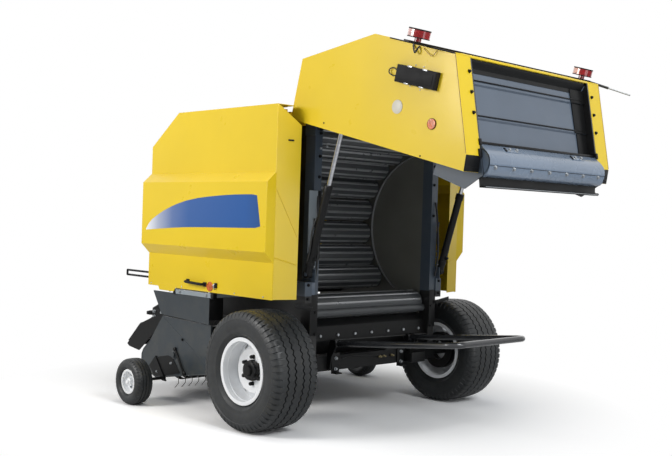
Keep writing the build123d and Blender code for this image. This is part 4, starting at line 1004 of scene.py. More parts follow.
class TrimTailgate(bpy.types.Operator):
    """Adds the end strips, steps, roll housing, slot, lip and rear ribs of the tailgate"""
    bl_idname = "baler.trim_tailgate"
    bl_label = "Trim Tailgate"

    def execute(self, context):
        def band(shape, a0, a1, y0, y1, d0, d1, bevel=0.002, mark=0):
            """A block on the lower back face: along it, across it, and inwards from it."""
            place = basis(on_face(0, 0, 0), FACE_OUT, -FACE_DOWN)
            xs = (place.inverted() @ on_face(0, y0, 0)).x, (place.inverted() @ on_face(0, y1, 0)).x
            shape.box((min(xs), -a1, -d1), (max(xs), -a0, -d0), bevel, mark, place)

        house = Shape()
        inner = END_HALF
        # Roll housing: a plate folded over the end roll between two cheeks, with a slot lined black as painted
        # shade, and a lip
        line = [(0.546, 0.022), (0.552, 0.003), (0.606, -0.0386), (0.632, -0.0535), (0.660, -0.0580),
                (0.690, -0.0530), (0.706, -0.0460), (0.742, -0.0250), (0.751, -0.0080), (0.752, 0.0260)]
        strip(house, line, -inner, inner, 0.0025)
        for sign in (1, -1):
            house.loft([[on_face(a, sign * y, d) for a, d in line] for y in (inner - 0.001, inner + 0.002)])
        # Black strips inside the slot: painted shade where the slot lies in shadow
        strip(house, [(0.752, 0.030), (0.790, 0.036), (0.806, 0.030)], -inner, inner, 0.005, 1)
        strip(house, [(0.735, 0.038), (0.815, 0.042)], -inner, inner, 0.004, 1)
        lip = [(0.803, 0.012), (0.814, 0.006), (0.820, 0.016), (0.815, 0.030)]
        strip(house, lip, -inner, inner, 0.004, 1)
        # Seam under the bolts, and the two slots with their dark ends
        place = basis(on_face(0.7045, 0, -0.0468), SEAM_OUT, -FACE_DOWN)
        house.box((-inner, 0.010, -0.001), (inner, 0.0125, 0.0008), 0, 1, place)
        slope = basis(on_face(0.579, 0, -0.0180), SLOPE_OUT, -FACE_DOWN)
        across = (slope.inverted() @ on_face(0.579, 1, -0.0180)).x
        for y in (0.37, -0.38):
            mid = y * across
            house.box((mid - 0.070, -0.020, -0.001), (mid + 0.070, 0.020, 0.0035), 0.001, 0, slope)
            end = mid + 0.064 * across
            house.box((end - 0.007, -0.018, -0.001), (end + 0.007, 0.018, 0.0065), 0.001, 1, slope)
        house.tube([on_face(0.8165, y, 0.004) for y in (0.01 - inner, inner - 0.01)], 0.0022, 8, 2)
        house.make("roll_housing", "tailgate", ["housing", "black", "zinc"], "blue_grey")
        steps = Shape()
        # Black risers at the panels' steps, a black band where they meet the housing and a black strip along their
        # top edge under the yellow strip: painted shade in the steps and gaps
        band(steps, 0.131, 0.138, -0.62, 0.62, 0.036, 0.050, 0.001)
        band(steps, 0.353, 0.360, -0.62, 0.62, 0.044, 0.056, 0.001)
        band(steps, 0.532, 0.547, -inner, inner, 0.010, 0.034, 0.001)
        strip(steps, [(0.008, 0.0130), (0.030, 0.0165), (0.060, 0.0447), (0.088, 0.0436)],
              -0.640, 0.640, 0.0022)
        # Black plates over the panels' right ends: painted shade for the dark gap beside the inner wall, which
        # lies in shadow
        for a0, a1, y1, deep in ((0.062, 0.158, -0.485, 0.0385), (0.157, 0.373, -0.505, 0.0465),
                                 (0.372, 0.532, -0.535, 0.0545)):
            band(steps, a0, a1, -inner, y1, deep, deep + 0.006, 0.0008)
        steps.make("panel_steps", "tailgate", "black", "black_frame")
        hems = Shape()
        for sign in (1, -1):
            # Turned-in hems along the strip's inner edge, and a cap on the outer corner
            band(hems, 0.004, 0.632, sign * 0.668, sign * 0.672, 0.0, 0.020, 0.0008)
            band(hems, -0.003, 0.004, sign * 0.668, sign * 0.810, -0.0015, 0.010, 0.0008)
        band(hems, -0.004, 0.010, -0.668, 0.668, -0.0015, 0.012, 0.001)
        hems.make("end_hems", "tailgate", "yellow", "yellow")
        corner = Shape()
        run, (x, z) = heading(FACE_FOOT, SKIN_TOE)
        for sign in (1, -1):
            # Dark sole under the skin's foot
            place = basis(on_gate(FACE_FOOT[0], sign * 0.739, FACE_FOOT[1]), gate_way(z, -x), gate_way(x, z))
            corner.box((-0.071, -0.0015, -0.003), (0.071, run - 0.001, 0.0012), 0.0008, 0, place)
            band(corner, 0.628, 0.700, sign * 0.678, sign * 0.800, 0.020, 0.050, 0.002)
            band(corner, 0.520, 0.560, sign * 0.652, sign * 0.676, -0.010, 0.016, 0.003)
            band(corner, 0.585, 0.640, sign * 0.664, sign * 0.690, -0.012, 0.020, 0.003)
        corner.make("end_corners", "tailgate", "black", "black_frame")
        row = [on_face(s + lower, y, -0.001) for y, lower in ((0.695, 0), (-0.695, 0.01))
               for s in (0.10, 0.23, 0.36)]
        bolts("tailgate", row, FACE_OUT, 0.017, "hex", "black")
        row = [on_face(0.7045, y, -0.0468) for y in (0.60, 0.41, 0.22, 0.02, -0.18, -0.38, -0.57)]
        bolts("tailgate", row, SEAM_OUT, 0.018)
        row = [on_face(0.579, y, -0.0220) for y in (0.40, 0.325, -0.345, -0.42)]
        bolts("tailgate", row, SLOPE_OUT, 0.019)
        # Pressed ribs across the rear cover's two upper panels
        rear = Shape()
        for start, end in zip(COVER_LINE, COVER_LINE[1:]):
            run, (x, z) = heading(start, end)
            for k in range(4):
                t = run * (k + 0.6) / 4.3
                spot = on_gate(start[0] + x * t, 0, start[1] + z * t)
                rear.box((-0.60, -0.030, -0.002), (0.60, 0.030, 0.007), 0.005, 0,
                         basis(spot, gate_way(z, -x), gate_way(x, z)))
        rear.make("rear_ribs", "tailgate", "yellow", "yellow")
        return {"FINISHED"}


# Half the width between the end strips, the skin's toe and the rear cover's line on the shut
# tailgate, and the ways that the housing's seam and its slotted slope face
END_HALF = 0.654
SKIN_TOE = (-0.257, 0.693)
COVER_LINE = ((-0.513, 2.371), (-0.848, 1.737), (-0.899, 1.028))
SEAM_OUT, SLOPE_OUT = face_way(0.5, -0.866), face_way(-0.6143, -0.789)


def strip(shape, line, y0, y1, thick, mark=0):
    """A sheet across the tailgate folded along (along, deep) points of the lower back face."""
    shape.loft([[on_face(a, y0, d), on_face(a, y0, d + thick), on_face(a, y1, d + thick), on_face(a, y1, d)]
                for a, d in line], mark)


class FitTailgateSides(bpy.types.Operator):
    """Fits the switch box, discs, reflectors, lamp lenses, seams and wires of the tailgate"""
    bl_idname = "baler.fit_tailgate_sides"
    bl_label = "Fit Tailgate Sides"

    def execute(self, context):
        out, up = Vector((0, 1, 0)), gate_way(0, 1)
        y = SKIN_OUT
        # Switch box: lid with a raised field, two clips above and two below
        box = Shape()
        lid = basis(on_gate(-0.684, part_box("side_box")[1].y, 1.258), out, gate_way(0.09, 1))
        box.box((-0.052, -0.168, -0.002), (0.052, 0.168, 0.006), 0.004, 0, lid)
        box.box((-0.036, -0.148, 0.004), (0.036, 0.148, 0.010), 0.003, 0, lid)
        for n in (-1, 1):
            for k in (-0.12, 0.12):
                box.box((n * 0.052 - 0.008, k * 0.55 - 0.020, -0.022),
                        (n * 0.052 + 0.008, k * 0.55 + 0.020, 0.004), 0.002, 1, lid)
        box.make("switch_box_lid", "tailgate", ["plastic", "zinc"], "box_plastic")
        wire = Shape()
        loop = [(-0.672, 1.430), (-0.690, 1.470), (-0.672, 1.508), (-0.648, 1.500), (-0.640, 1.462),
                (-0.652, 1.430)]
        wire.tube([on_gate(x, y + 0.012 + 0.004 * (k % 2), z) for k, (x, z) in enumerate(loop)],
                  0.004, 8, 0, 5)
        loop = [(-0.868, 1.378), (-0.857, 1.366), (-0.834, 1.343), (-0.825, 1.325), (-0.840, 1.318),
                (-0.860, 1.320), (-0.866, 1.324)]
        lifts = (0.000, 0.010, 0.020, 0.026, 0.026, 0.014, 0.000)
        wire.tube([on_gate(x, y + up, z) for (x, z), up in zip(loop, lifts)], 0.006, 8, 0, 5)
        loop = [(-0.866, 1.285), (-0.862, 1.268), (-0.849, 1.237), (-0.842, 1.212), (-0.838, 1.192),
                (-0.850, 1.179), (-0.868, 1.173), (-0.880, 1.171)]
        lifts = (0.000, 0.010, 0.014, 0.015, 0.015, 0.012, 0.008, 0.000)
        wire.tube([on_gate(x, y + up, z) for (x, z), up in zip(loop, lifts)], 0.0022, 8, 1, 5)
        wire.make("side_wires", "tailgate", ["hose", "lead"], "box_plastic")
        discs = Shape()
        discs.turned([(0, 0), (0.045, 0), (0.045, 0.003), (0.042, 0.005), (0, 0.005)],
                     basis(on_gate(-0.462, y, 1.362), out, up), 36)
        discs.mirrored()
        discs.make("side_discs", "tailgate", "white")
        amber = Shape()
        amber.turned([(0, 0), (0.034, 0), (0.034, 0.006), (0.031, 0.009), (0, 0.0095)],
                     basis(on_gate(*REFLECTOR), out, up), 32)
        amber.mirrored()
        amber.make("gate_reflectors", "tailgate", "amber")
        rings = Shape()
        rings.turned([(0.0335, 0), (0.0355, 0), (0.0355, 0.005), (0.0345, 0.007), (0.0335, 0.0065)],
                     basis(on_gate(*REFLECTOR), out, up), 32)
        rings.mirrored()
        rings.make("reflector_rings", "tailgate", "plastic", "box_plastic")
        # Lamps: rims, lenses and a clear part towards the outside
        lamps = Shape()
        bar_out = (on_lamp(0, 1) - on_lamp(0, 0)).normalized()
        for sign in (1, -1):
            face = basis(on_lamp(sign * LAMP_Y, 0.0), bar_out, (0, 1, 0))
            lamps.turned([(0.0695, 0.0215), (0.0715, 0.0225), (0.0715, 0.027), (0.0695, 0.028)], face, 48, 0)
            lamps.turned([(0.064, 0.0715), (0.0705, 0.0700), (0.0715, 0.0725), (0.0715, 0.0765),
                          (0.0690, 0.0785), (0.064, 0.0785)], face, 48, 0)
            lamps.turned([(0.0, 0.0715), (0.0645, 0.0715), (0.0645, 0.0755), (0.055, 0.0775), (0.0, 0.0785)],
                         face, 48, 1)
            angles = [radians(38 + 66 * k / 12) for k in range(13)]
            ring = ((0.0694, 0.0285), (0.0712, 0.0285), (0.0712, 0.0695), (0.0694, 0.0695))
            lamps.loft([[face @ Vector((r * cos(a), r * sin(a), h)) for r, h in ring] for a in angles], 2)
        lamps.make("lamp_lenses", "tailgate", ["plastic", "red", "clear"], "lamp_red")
        # Thin black edge along each skin's back, and the fold near its front edge
        seams = Shape()
        for sign in (1, -1):
            seams.tube([on_gate(x, sign * (y - 0.001), z) for x, z in ((-0.858, 1.596), (-0.899, 1.028))],
                       0.0045, 8)
            seams.tube([on_face(0.004, sign * 0.811, 0.0), on_face(0.622, sign * 0.811, 0.0)], 0.0022, 8, 1)
        seams.make("skin_edges", "tailgate", ["black", "lead"], "black_frame")
        # Guide rod that hangs from the lamp bar's right end
        rod = Shape()
        for top, foot, r, sides, mark in ((1.238, 1.055, 0.0095, 12, 0), (1.060, 0.865, 0.0055, 10, 1)):
            rod.tube([on_gate(-0.8895, -1.0, top), on_gate(-0.8895, -1.0, foot)], r, sides, mark)
        rod.make("bar_rod", "tailgate", ["hose", "zinc"], "black_frame")
        spots = [(-0.160, 1.985), (-0.231, 1.058)]
        pairs = [(on_gate(x, sign * y, z), (0, sign, 0)) for x, z in spots for sign in (1, -1)]
        bolts("tailgate", pairs, None, 0.013, "dome", "black")
        pairs = [(on_gate(x, y, z), (0, 1, 0)) for x, z in
                 ((-0.751, 1.31), (-0.757, 1.24), (-0.615, 1.308), (-0.615, 1.217))]
        bolts("tailgate", pairs, None, 0.010, "dome")
        return {"FINISHED"}


# The lamps' middle, the bend of the cover above them, and the reflector on the left skin
LAMP_Y = abs(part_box("tail_lamps")[0].y) - 0.070
BEND = (-0.851, 1.738)
REFLECTOR = (-0.446, SKIN_OUT, 1.041)


def on_lamp(y, out):
    """A point over the lamp bar: across the machine and out of the bar's face."""
    x, z = heading(BEND, FACE_TOP)[1]
    reach, lift = 0.487, 0.012 + out
    return on_gate(BEND[0] + x * reach + z * lift, y, BEND[1] + z * reach - x * lift)


class DressDoors(bpy.types.Operator):
    """Adds hems, handles, reflectors, the stripe and the rear return's folds to the side doors"""
    bl_idname = "baler.dress_doors"
    bl_label = "Dress Doors"

    def execute(self, context):
        base = 0.917
        for side, sign in SIDES:
            body = "door_" + side

            def spot(x, y, z):
                return at(x, sign * y, z)

            face = side_plane(1.011, sign)

            hem = Shape()
            # Rolled edges: bottom, front and rear, and the drop at the front of the bottom edge
            hem.tube([spot(-0.072, 1.0085, base + 0.002), spot(1.492, 1.0085, base + 0.002)], 0.0035, 8)
            for x, top in ((1.4935, 2.034), (-0.0735, 2.293)):
                line = ((1.008, base), (1.008, 1.178), (1.085, 1.254), (1.085, 1.745), (1.005, 1.819),
                        (1.005, top))
                hem.tube([spot(x, y, z) for y, z in line], 0.0030, 8)
            drop_plate = [(1.09, base + 0.02), (1.36, base + 0.02), (1.33, 0.886), (1.13, 0.886)]
            hem.plate(drop_plate, -0.0035, 0.0005, 0.001, 0, side_plane(1.0115, sign))
            hem.make("door_hems_" + side, body, "yellow", "yellow")
            # Handle on the lower band, with its end blocks
            grip = Shape()
            grip.tube([spot(0.715, 1.013, 0.972), spot(0.722, 1.040, 0.973), spot(0.745, 1.050, 0.974),
                       spot(0.905, 1.050, 0.980), spot(0.928, 1.040, 0.981), spot(0.936, 1.013, 0.982)],
                      0.0105, 12, 0, 5)
            for x, z in ((0.715, 0.972), (0.936, 0.982)):
                grip.box((x - 0.020, z - 0.017, 0.0), (x + 0.020, z + 0.017, 0.008), 0.003, 0, face)
            grip.box((0.560, 0.955, 0.0), (0.592, 0.992, 0.012), 0.003, 0, face)
            grip.tube([spot(0.576, 1.022, 0.988), spot(0.576, 1.036, 0.975), spot(0.576, 1.030, 0.950),
                       spot(0.576, 1.018, 0.945)], 0.005, 8, 1, 4)
            grip.make("door_handle_" + side, body, ["plastic", "zinc"], "box_plastic")
            amber = Shape()
            amber.turned([(0, 0), (0.036, 0), (0.036, 0.006), (0.033, 0.009), (0, 0.010)],
                         face @ Matrix.Translation((0.651, 0.960, 0)), 32)
            amber.make("door_reflector_" + side, body, "amber")
            stripe = Shape()
            rings = []
            for top, low in zip(even(STRIPE_TOP, 26), even(STRIPE_LOW, 26)):
                corners = ((top, 1.0876), (low, 1.0876), (low, 1.0864), (top, 1.0864))
                rings.append([spot(x, y, z) for (x, z), y in corners])
            stripe.loft(rings)
            stripe.make("door_stripe_" + side, body, "stripe")
            # Two folds across the rear return, and a slot near its top
            turn = Shape()
            for outer, inner in ((1.70, 1.36), (1.215, 1.165)):
                turn.tube([return_spot(1.000, outer, sign, 0.001), return_spot(0.838, inner, sign, 0.001)],
                          0.0035, 8)
            turn.make("return_folds_" + side, body, "yellow", "yellow")
            recess = Shape()
            recess.tube([return_spot(y, 2.045, sign, 0.0015) for y in (0.925, 0.885)], 0.006, 8)
            recess.make("return_slot_" + side, body, "black")
            pairs = [(spot(x, 1.0125, 0.932), (0, sign, 0)) for x in (0.02, 0.35, 1.02, 1.45)]
            bolts(body, pairs, None, 0.012, "dome")
        return {"FINISHED"}


# Edges of the door's stripe, from its front tip to the rear: x from the axle, z
STRIPE_TOP = ((1.434, 1.372), (1.379, 1.435), (1.295, 1.477), (1.184, 1.524), (1.048, 1.568), (0.888, 1.604),
              (0.733, 1.625), (0.582, 1.638), (0.411, 1.649), (0.246, 1.655), (0.053, 1.657), (0.030, 1.650))
STRIPE_LOW = ((1.430, 1.365), (1.232, 1.380), (1.066, 1.391), (0.891, 1.400), (0.721, 1.405), (0.545, 1.409),
              (0.399, 1.412), (0.188, 1.416), (-0.004, 1.421), (-0.016, 1.432))


def even(line, count):
    """A line's points taken again at even steps along it."""
    line = [Vector(p) for p in line]
    lengths = [0.0]
    for a, b in zip(line, line[1:]):
        lengths.append(lengths[-1] + (b - a).length)
    made, k = [], 0
    for n in range(count):
        want = lengths[-1] * n / (count - 1)
        while k < len(line) - 2 and lengths[k + 1] < want:
            k += 1
        made.append(tuple(line[k].lerp(line[k + 1], (want - lengths[k]) / (lengths[k + 1] - lengths[k]))))
    return made


def side_plane(y, sign):
    """A plane facing outwards at y: u is x from the axle, v is z, w is out."""
    return Matrix(((1, 0, 0, AXLE_X), (0, 0, sign, sign * y), (0, 1, 0, 0), (0, 0, 0, 1)))


def return_spot(y, z, sign, proud):
    """A point on the door's slanting rear return."""
    t = (1.003 - y) / (1.003 - 0.830)
    x = -0.075 - 0.055 * t
    return at(x - proud, sign * (y + proud * 0.3), z)


class FitFrameSides(bpy.types.Operator):
    """Fits plates, hoses, cylinder glands and wall rims between the chamber and the doors"""
    bl_idname = "baler.fit_frame_sides"
    bl_label = "Fit Frame Sides"

    def execute(self, context):
        plates = Shape()
        # Cover plate beside the left cylinder, and a flat bracket under it
        plates.box(at(-0.1285, 0.640, 1.250), at(-0.1205, 0.733, 1.700), 0.002, 0)
        plates.box(at(-0.1300, 0.617, 1.210), at(-0.1210, 0.652, 1.700), 0.002, 1)
        for sign in (1, -1):
            place = basis(at(-0.134, sign * 0.733, 0.857), BEHIND, UP)
            turn = Matrix.Rotation(radians(-9 * sign), 4, "Z")
            near, far = sorted((sign * 0.056, sign * -0.116))
            plates.box((near, -0.014, 0.0), (far, 0.014, 0.006), 0.002, 1, place @ turn)
            near, far = sorted((sign * 0.617, sign * 0.690))
            plates.box(at(-0.1255, near, 0.650), at(-0.1195, far, 0.948), 0.002, 1)
        plates.box(at(-0.1240, 0.647, 0.933), at(-0.1190, 0.684, 1.038), 0.002, 2)
        plates.make("post_plates", "frame", ["light_grey", "black", "blue_grey"], "light_grey")
        lines = Shape()
        for sign in (1, -1):
            hose = [(0.688, 1.500), (0.680, 1.464), (0.673, 1.405), (0.676, 1.357), (0.686, 1.309)]
            lines.tube([at(-0.140, sign * y, z) for y, z in hose], 0.0075, 10, 0, 5)
            lines.tube([at(-0.135, sign * 0.662, 1.060), at(-0.155, sign * 0.665, 1.180),
                        at(-0.160, sign * 0.664, 1.320), at(-0.152, sign * 0.662, 1.450),
                        at(-0.140, sign * 0.658, 1.580), at(-0.128, sign * 0.652, 1.660)], 0.0075, 10, 0, 5)
            for y, z in ((0.686, 1.333), (0.686, 1.261), (0.685, 1.214), (0.684, 1.154)):
                lines.turned([(0, 0), (0.0075, 0), (0.0075, 0.010), (0.005, 0.012), (0.005, 0.020),
                              (0, 0.020)], basis(at(-0.128, sign * y, z), BEHIND, UP), 12, 1)
            for y, z in ((0.574, 2.024), (0.634, 2.009)):
                lines.turned([(0, 0), (0.009, 0), (0.009, 0.008), (0.006, 0.010), (0, 0.010)],
                             basis(at(-0.121, sign * y, z), BEHIND, UP), 12, 1)
        lines.make("cylinder_hoses", "frame", ["hose", "zinc"], "box_plastic")
        for side, sign in SIDES:
            cylinder = Shape()
            way = Vector(JOINTS["rod_" + side]["axis"]).normalized()
            foot = Vector(JOINTS["cylinder_" + side]["pos_m"])
            frame_m = basis(foot + way * 0.660, way, (0, 1, 0))
            cylinder.turned([(0.0190, -0.020), (0.0305, -0.050), (0.0325, -0.048), (0.0325, -0.004),
                             (0.0290, 0.0015), (0.0190, 0.0015)], frame_m, 32)
            base = basis(foot + way * 0.060, way, (0, 1, 0))
            cylinder.turned([(0.0275, 0.0), (0.0315, 0.0), (0.0325, 0.003), (0.0325, 0.028), (0.0315, 0.031),
                             (0.0275, 0.031)], base, 32)
            # Port on the barrel's back
            port = basis(foot + way * 0.110 + Vector((-0.026, 0, 0)), (-1, 0, 0.1), (0, 1, 0))
            cylinder.turned([(0, 0), (0.013, 0), (0.013, 0.014), (0.009, 0.016), (0.009, 0.026), (0, 0.026)],
                            port, 16)
            # Hose looped along the barrel to its foot
            arc = [(-0.226, 1.512), (-0.216, 1.480), (-0.200, 1.411), (-0.196, 1.344), (-0.181, 1.261),
                   (-0.160, 1.206), (-0.134, 1.160)]
            outs = (0.737, 0.750, 0.762, 0.766, 0.766, 0.762, 0.750)
            cylinder.tube([at(x, sign * y, z) for (x, z), y in zip(arc, outs)], 0.0065, 10, 1, 5)
            cylinder.make("cylinder_glands_" + side, "barrel_" + side, ["black", "hose"], "black_frame")
        # Rolled edges on the inner faces of the chamber walls, round the rolls' ends, in the light rib steel:
        # partly a painted highlight along them
        rims = Shape()
        low, high = radians(-58), radians(100)
        corners = ((0.5985, 0.5965), (0.6015, 0.5965), (0.6015, 0.6155), (0.5985, 0.6155))
        for sign in (1, -1):
            rings = []
            for a in (low + (high - low) * k / 60 for k in range(61)):
                places = [(*round_bale(r, a), sign * y) for r, y in corners]
                rings.append([at(x, y, z) for x, z, y in places])
            rims.loft(rings)
        rims.make("chamber_rims", "frame", "rib", "light_grey")
        heads = []
        for sign in (1, -1):
            for z in (1.02, 0.92):
                heads.append((at(-0.130, sign * 0.72, z), BEHIND))
            for z in (2.145, 2.115, 1.95, 1.80, 1.55, 0.82, 0.66):
                heads.append((at(-0.1205 if z < 2.1 else -0.1253, sign * 0.638, z), BEHIND))
        bolts("frame", heads, None, 0.017, "hex", "black")
        return {"FINISHED"}


class FitUndercarriage(bpy.types.Operator):
    """Fits beads, brackets and fittings behind and under the chamber, and the hoop's bosses"""
    bl_idname = "baler.fit_undercarriage"
    bl_label = "Fit Undercarriage"

    def execute(self, context):
        under = Shape()
        # Rounded edge of the rear cross sheet, above the axle
        outline = [(-0.050, 0.772), (-0.066, 0.774), (-0.077, 0.783), (-0.082, 0.800), (-0.078, 0.818),
                   (-0.068, 0.829), (-0.050, 0.832)]
        under.plate(outline, -0.612, 0.612, 0.001, 0, side_plane(0, 1))
        under.tube([at(-0.100, 0.408, 0.603), at(-0.104, -0.682, 0.590)], 0.0045, 8, 1)
        under.make("rear_beads", "frame", ["roll", "hose"], "roll_steel")
        hang = Shape()
        for y in (0.36, -0.36):
            hang.box(at(-0.066, y - 0.040, 0.345), at(-0.057, y + 0.040, 0.50), 0.003, 0)
            hang.box(at(-0.110, y - 0.030, 0.345), at(-0.060, y + 0.030, 0.356), 0.003, 0)
        hang.box(at(-0.150, -0.56, 0.375), at(-0.057, -0.40, 0.455), 0.006, 0)
        for y, r in ((-0.114, 0.011), (-0.160, 0.009), (-0.252, 0.010)):
            hang.turned([(0, 0), (r, 0), (r, 0.016), (r * 0.7, 0.018), (r * 0.7, 0.030), (0, 0.030)],
                        basis(at(-0.060, y, 0.438), BEHIND, UP), 14, 1)
        pipe = [(-0.100, -0.08, 0.455), (-0.100, 0.05, 0.462), (-0.098, 0.22, 0.470), (-0.090, 0.32, 0.462)]
        hang.tube([at(*p) for p in pipe], 0.006, 10, 0, 4)
        hang.make("axle_fittings", "frame", ["black", "brass"], "black_frame")
        row = [at(-0.062, y, 0.635) for y in (0.53, 0.35, 0.17, -0.01, -0.195, -0.375, -0.555)]
        bolts("frame", row, (-1, 0, 0.04), 0.021)
        bolts("frame", [at(-0.0665, y, z) for y in (0.36, -0.36) for z in (0.38, 0.46)], BEHIND, 0.019)
        hoop = Shape()
        for sign in (1, -1):
            pivot = Vector(JOINTS["bale_hoop"]["pos_m"]) + Vector((0, 0.4 * sign, 0))
            for face in (1, -1):
                hoop.turned([(0.0125, 0.0), (0.029, 0.0), (0.029, 0.004), (0.0265, 0.006), (0.0125, 0.006)],
                            basis(pivot + Vector((0, 0.025 * face, 0)), (0, face, 0), UP), 28)
        hoop.make("hoop_bosses", "hoop", "black", "black_frame")
        return {"FINISHED"}


class FitPickup(bpy.types.Operator):
    """Fits coils to the tines, edges and quadrants to the side plates, and the guard's ridges"""
    bl_idname = "baler.fit_pickup"
    bl_label = "Fit Pickup"

    def execute(self, context):
        # Spring coils where each tine leaves its bar
        r, wire, steps = 0.019, 0.003, 14
        path = []
        for k in range(int(2.5 * steps) + 1):
            a = 2 * pi * k / steps
            path.append((r * cos(a), 0.004 + 0.0075 * k / steps, r * sin(a)))
        part = part_of(Shape().tube(path, wire, 5))
        starts = []
        for k in range(4):
            a = radians(90 * k)
            starts.append(REEL + Vector((-0.120 * sin(a), -0.924, -0.120 * cos(a))))
        obj = grown("tine_coils", "row", starts, part, "tine", Count=29, Step=(0.0, 0.066, 0.0))
        settle(tidied(obj), "reel", 40)
        drop(part)
        plate_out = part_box("pickup_plates")[1].y
        trim = Shape()
        flat = side_plane(plate_out, 1)
        # Stiffening flange round the plate, and the gauge arm's quadrant with its strut
        edge = [(0.677, 0.655), (0.673, 0.291), (1.401, 0.164), (1.510, 0.200), (1.620, 0.265),
                (1.620, 0.330), (1.597, 0.374), (1.503, 0.453)]
        for (x0, z0), (x1, z1) in zip(edge, edge[1:]):
            trim.tube([at(x0, plate_out, z0), at(x1, plate_out, z1)], 0.0035, 8)
        trim.tube([at(1.33, plate_out, 0.668), at(0.70, plate_out + 0.0005, 0.345)], 0.002, 6)
        trim.turned([(0, 0), (0.036, 0), (0.036, 0.004), (0.022, 0.008), (0.022, 0.020), (0, 0.020)],
                    flat @ Matrix.Translation((REEL.x - AXLE_X, REEL.z, 0)), 32)
        trim.mirrored()
        trim.make("plate_trim", "pickup", "dark_plate", "dark_plate")
        arms = Shape()
        quadrant = [(1.501, 0.251), (1.438, 0.311), (1.347, 0.342), (1.240, 0.363), (1.169, 0.355),
                    (1.059, 0.244), (1.229, 0.208), (1.395, 0.176), (1.429, 0.182)]
        arms.plate(quadrant, 0.0002, 0.0055, 0.001, 0, flat)
        foot, head = (0.999, 0.250), (1.135, 0.426)
        run, (x, z) = heading(foot, head)
        arms.box((0, -0.011, 0.006), (run, 0.011, 0.013), 0.003, 0,
                 flat @ Matrix.Translation((*foot, 0)) @ Matrix.Rotation(atan2(z, x), 4, "Z"))
        for x, z in (foot, head):
            arms.turned([(0, 0), (0.016, 0), (0.016, 0.014), (0.012, 0.017), (0, 0.017)],
                        flat @ Matrix.Translation((x, z, 0)), 20)
        arms.mirrored()
        arms.make("plate_quadrants", "pickup", "black", "black_frame")
        for x, z, up, paint in ((1.183, 0.307, 0.0055, "zinc"), (1.376, 0.217, 0.0055, "zinc"),
                                (1.040, 0.512, 0.0005, "black")):
            pair = [(at(x, sign * (plate_out + up), z), (0, sign, 0)) for sign in (1, -1)]
            bolts("pickup", pair, None, 0.016, "hex", paint)
        guard = Shape()
        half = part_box("wind_guard")[1].y
        # Fold ridges along the wind guard, and straps over it
        for x, z in ((1.450, 0.6615), (1.540, 0.6365), (1.697, 0.5765)):
            guard.tube([at(x, -half + 0.01, z), at(x, half - 0.01, z)], 0.004, 8)
        for y in (-0.75, -0.375, 0, 0.375, 0.75):
            lean = Matrix.Translation(at(1.46, y, 0.6595)) @ Matrix.Rotation(radians(15.5), 4, "Y")
            guard.box((-0.040, -0.012, -0.004), (0.040, 0.012, 0.004), 0.003, 0, lean)
        guard.make("guard_ridges", "wind_guard", "black", "black_frame")
        return {"FINISHED"}


# Height of the shaft that enters the gearbox
INPUT_Z = 1.130


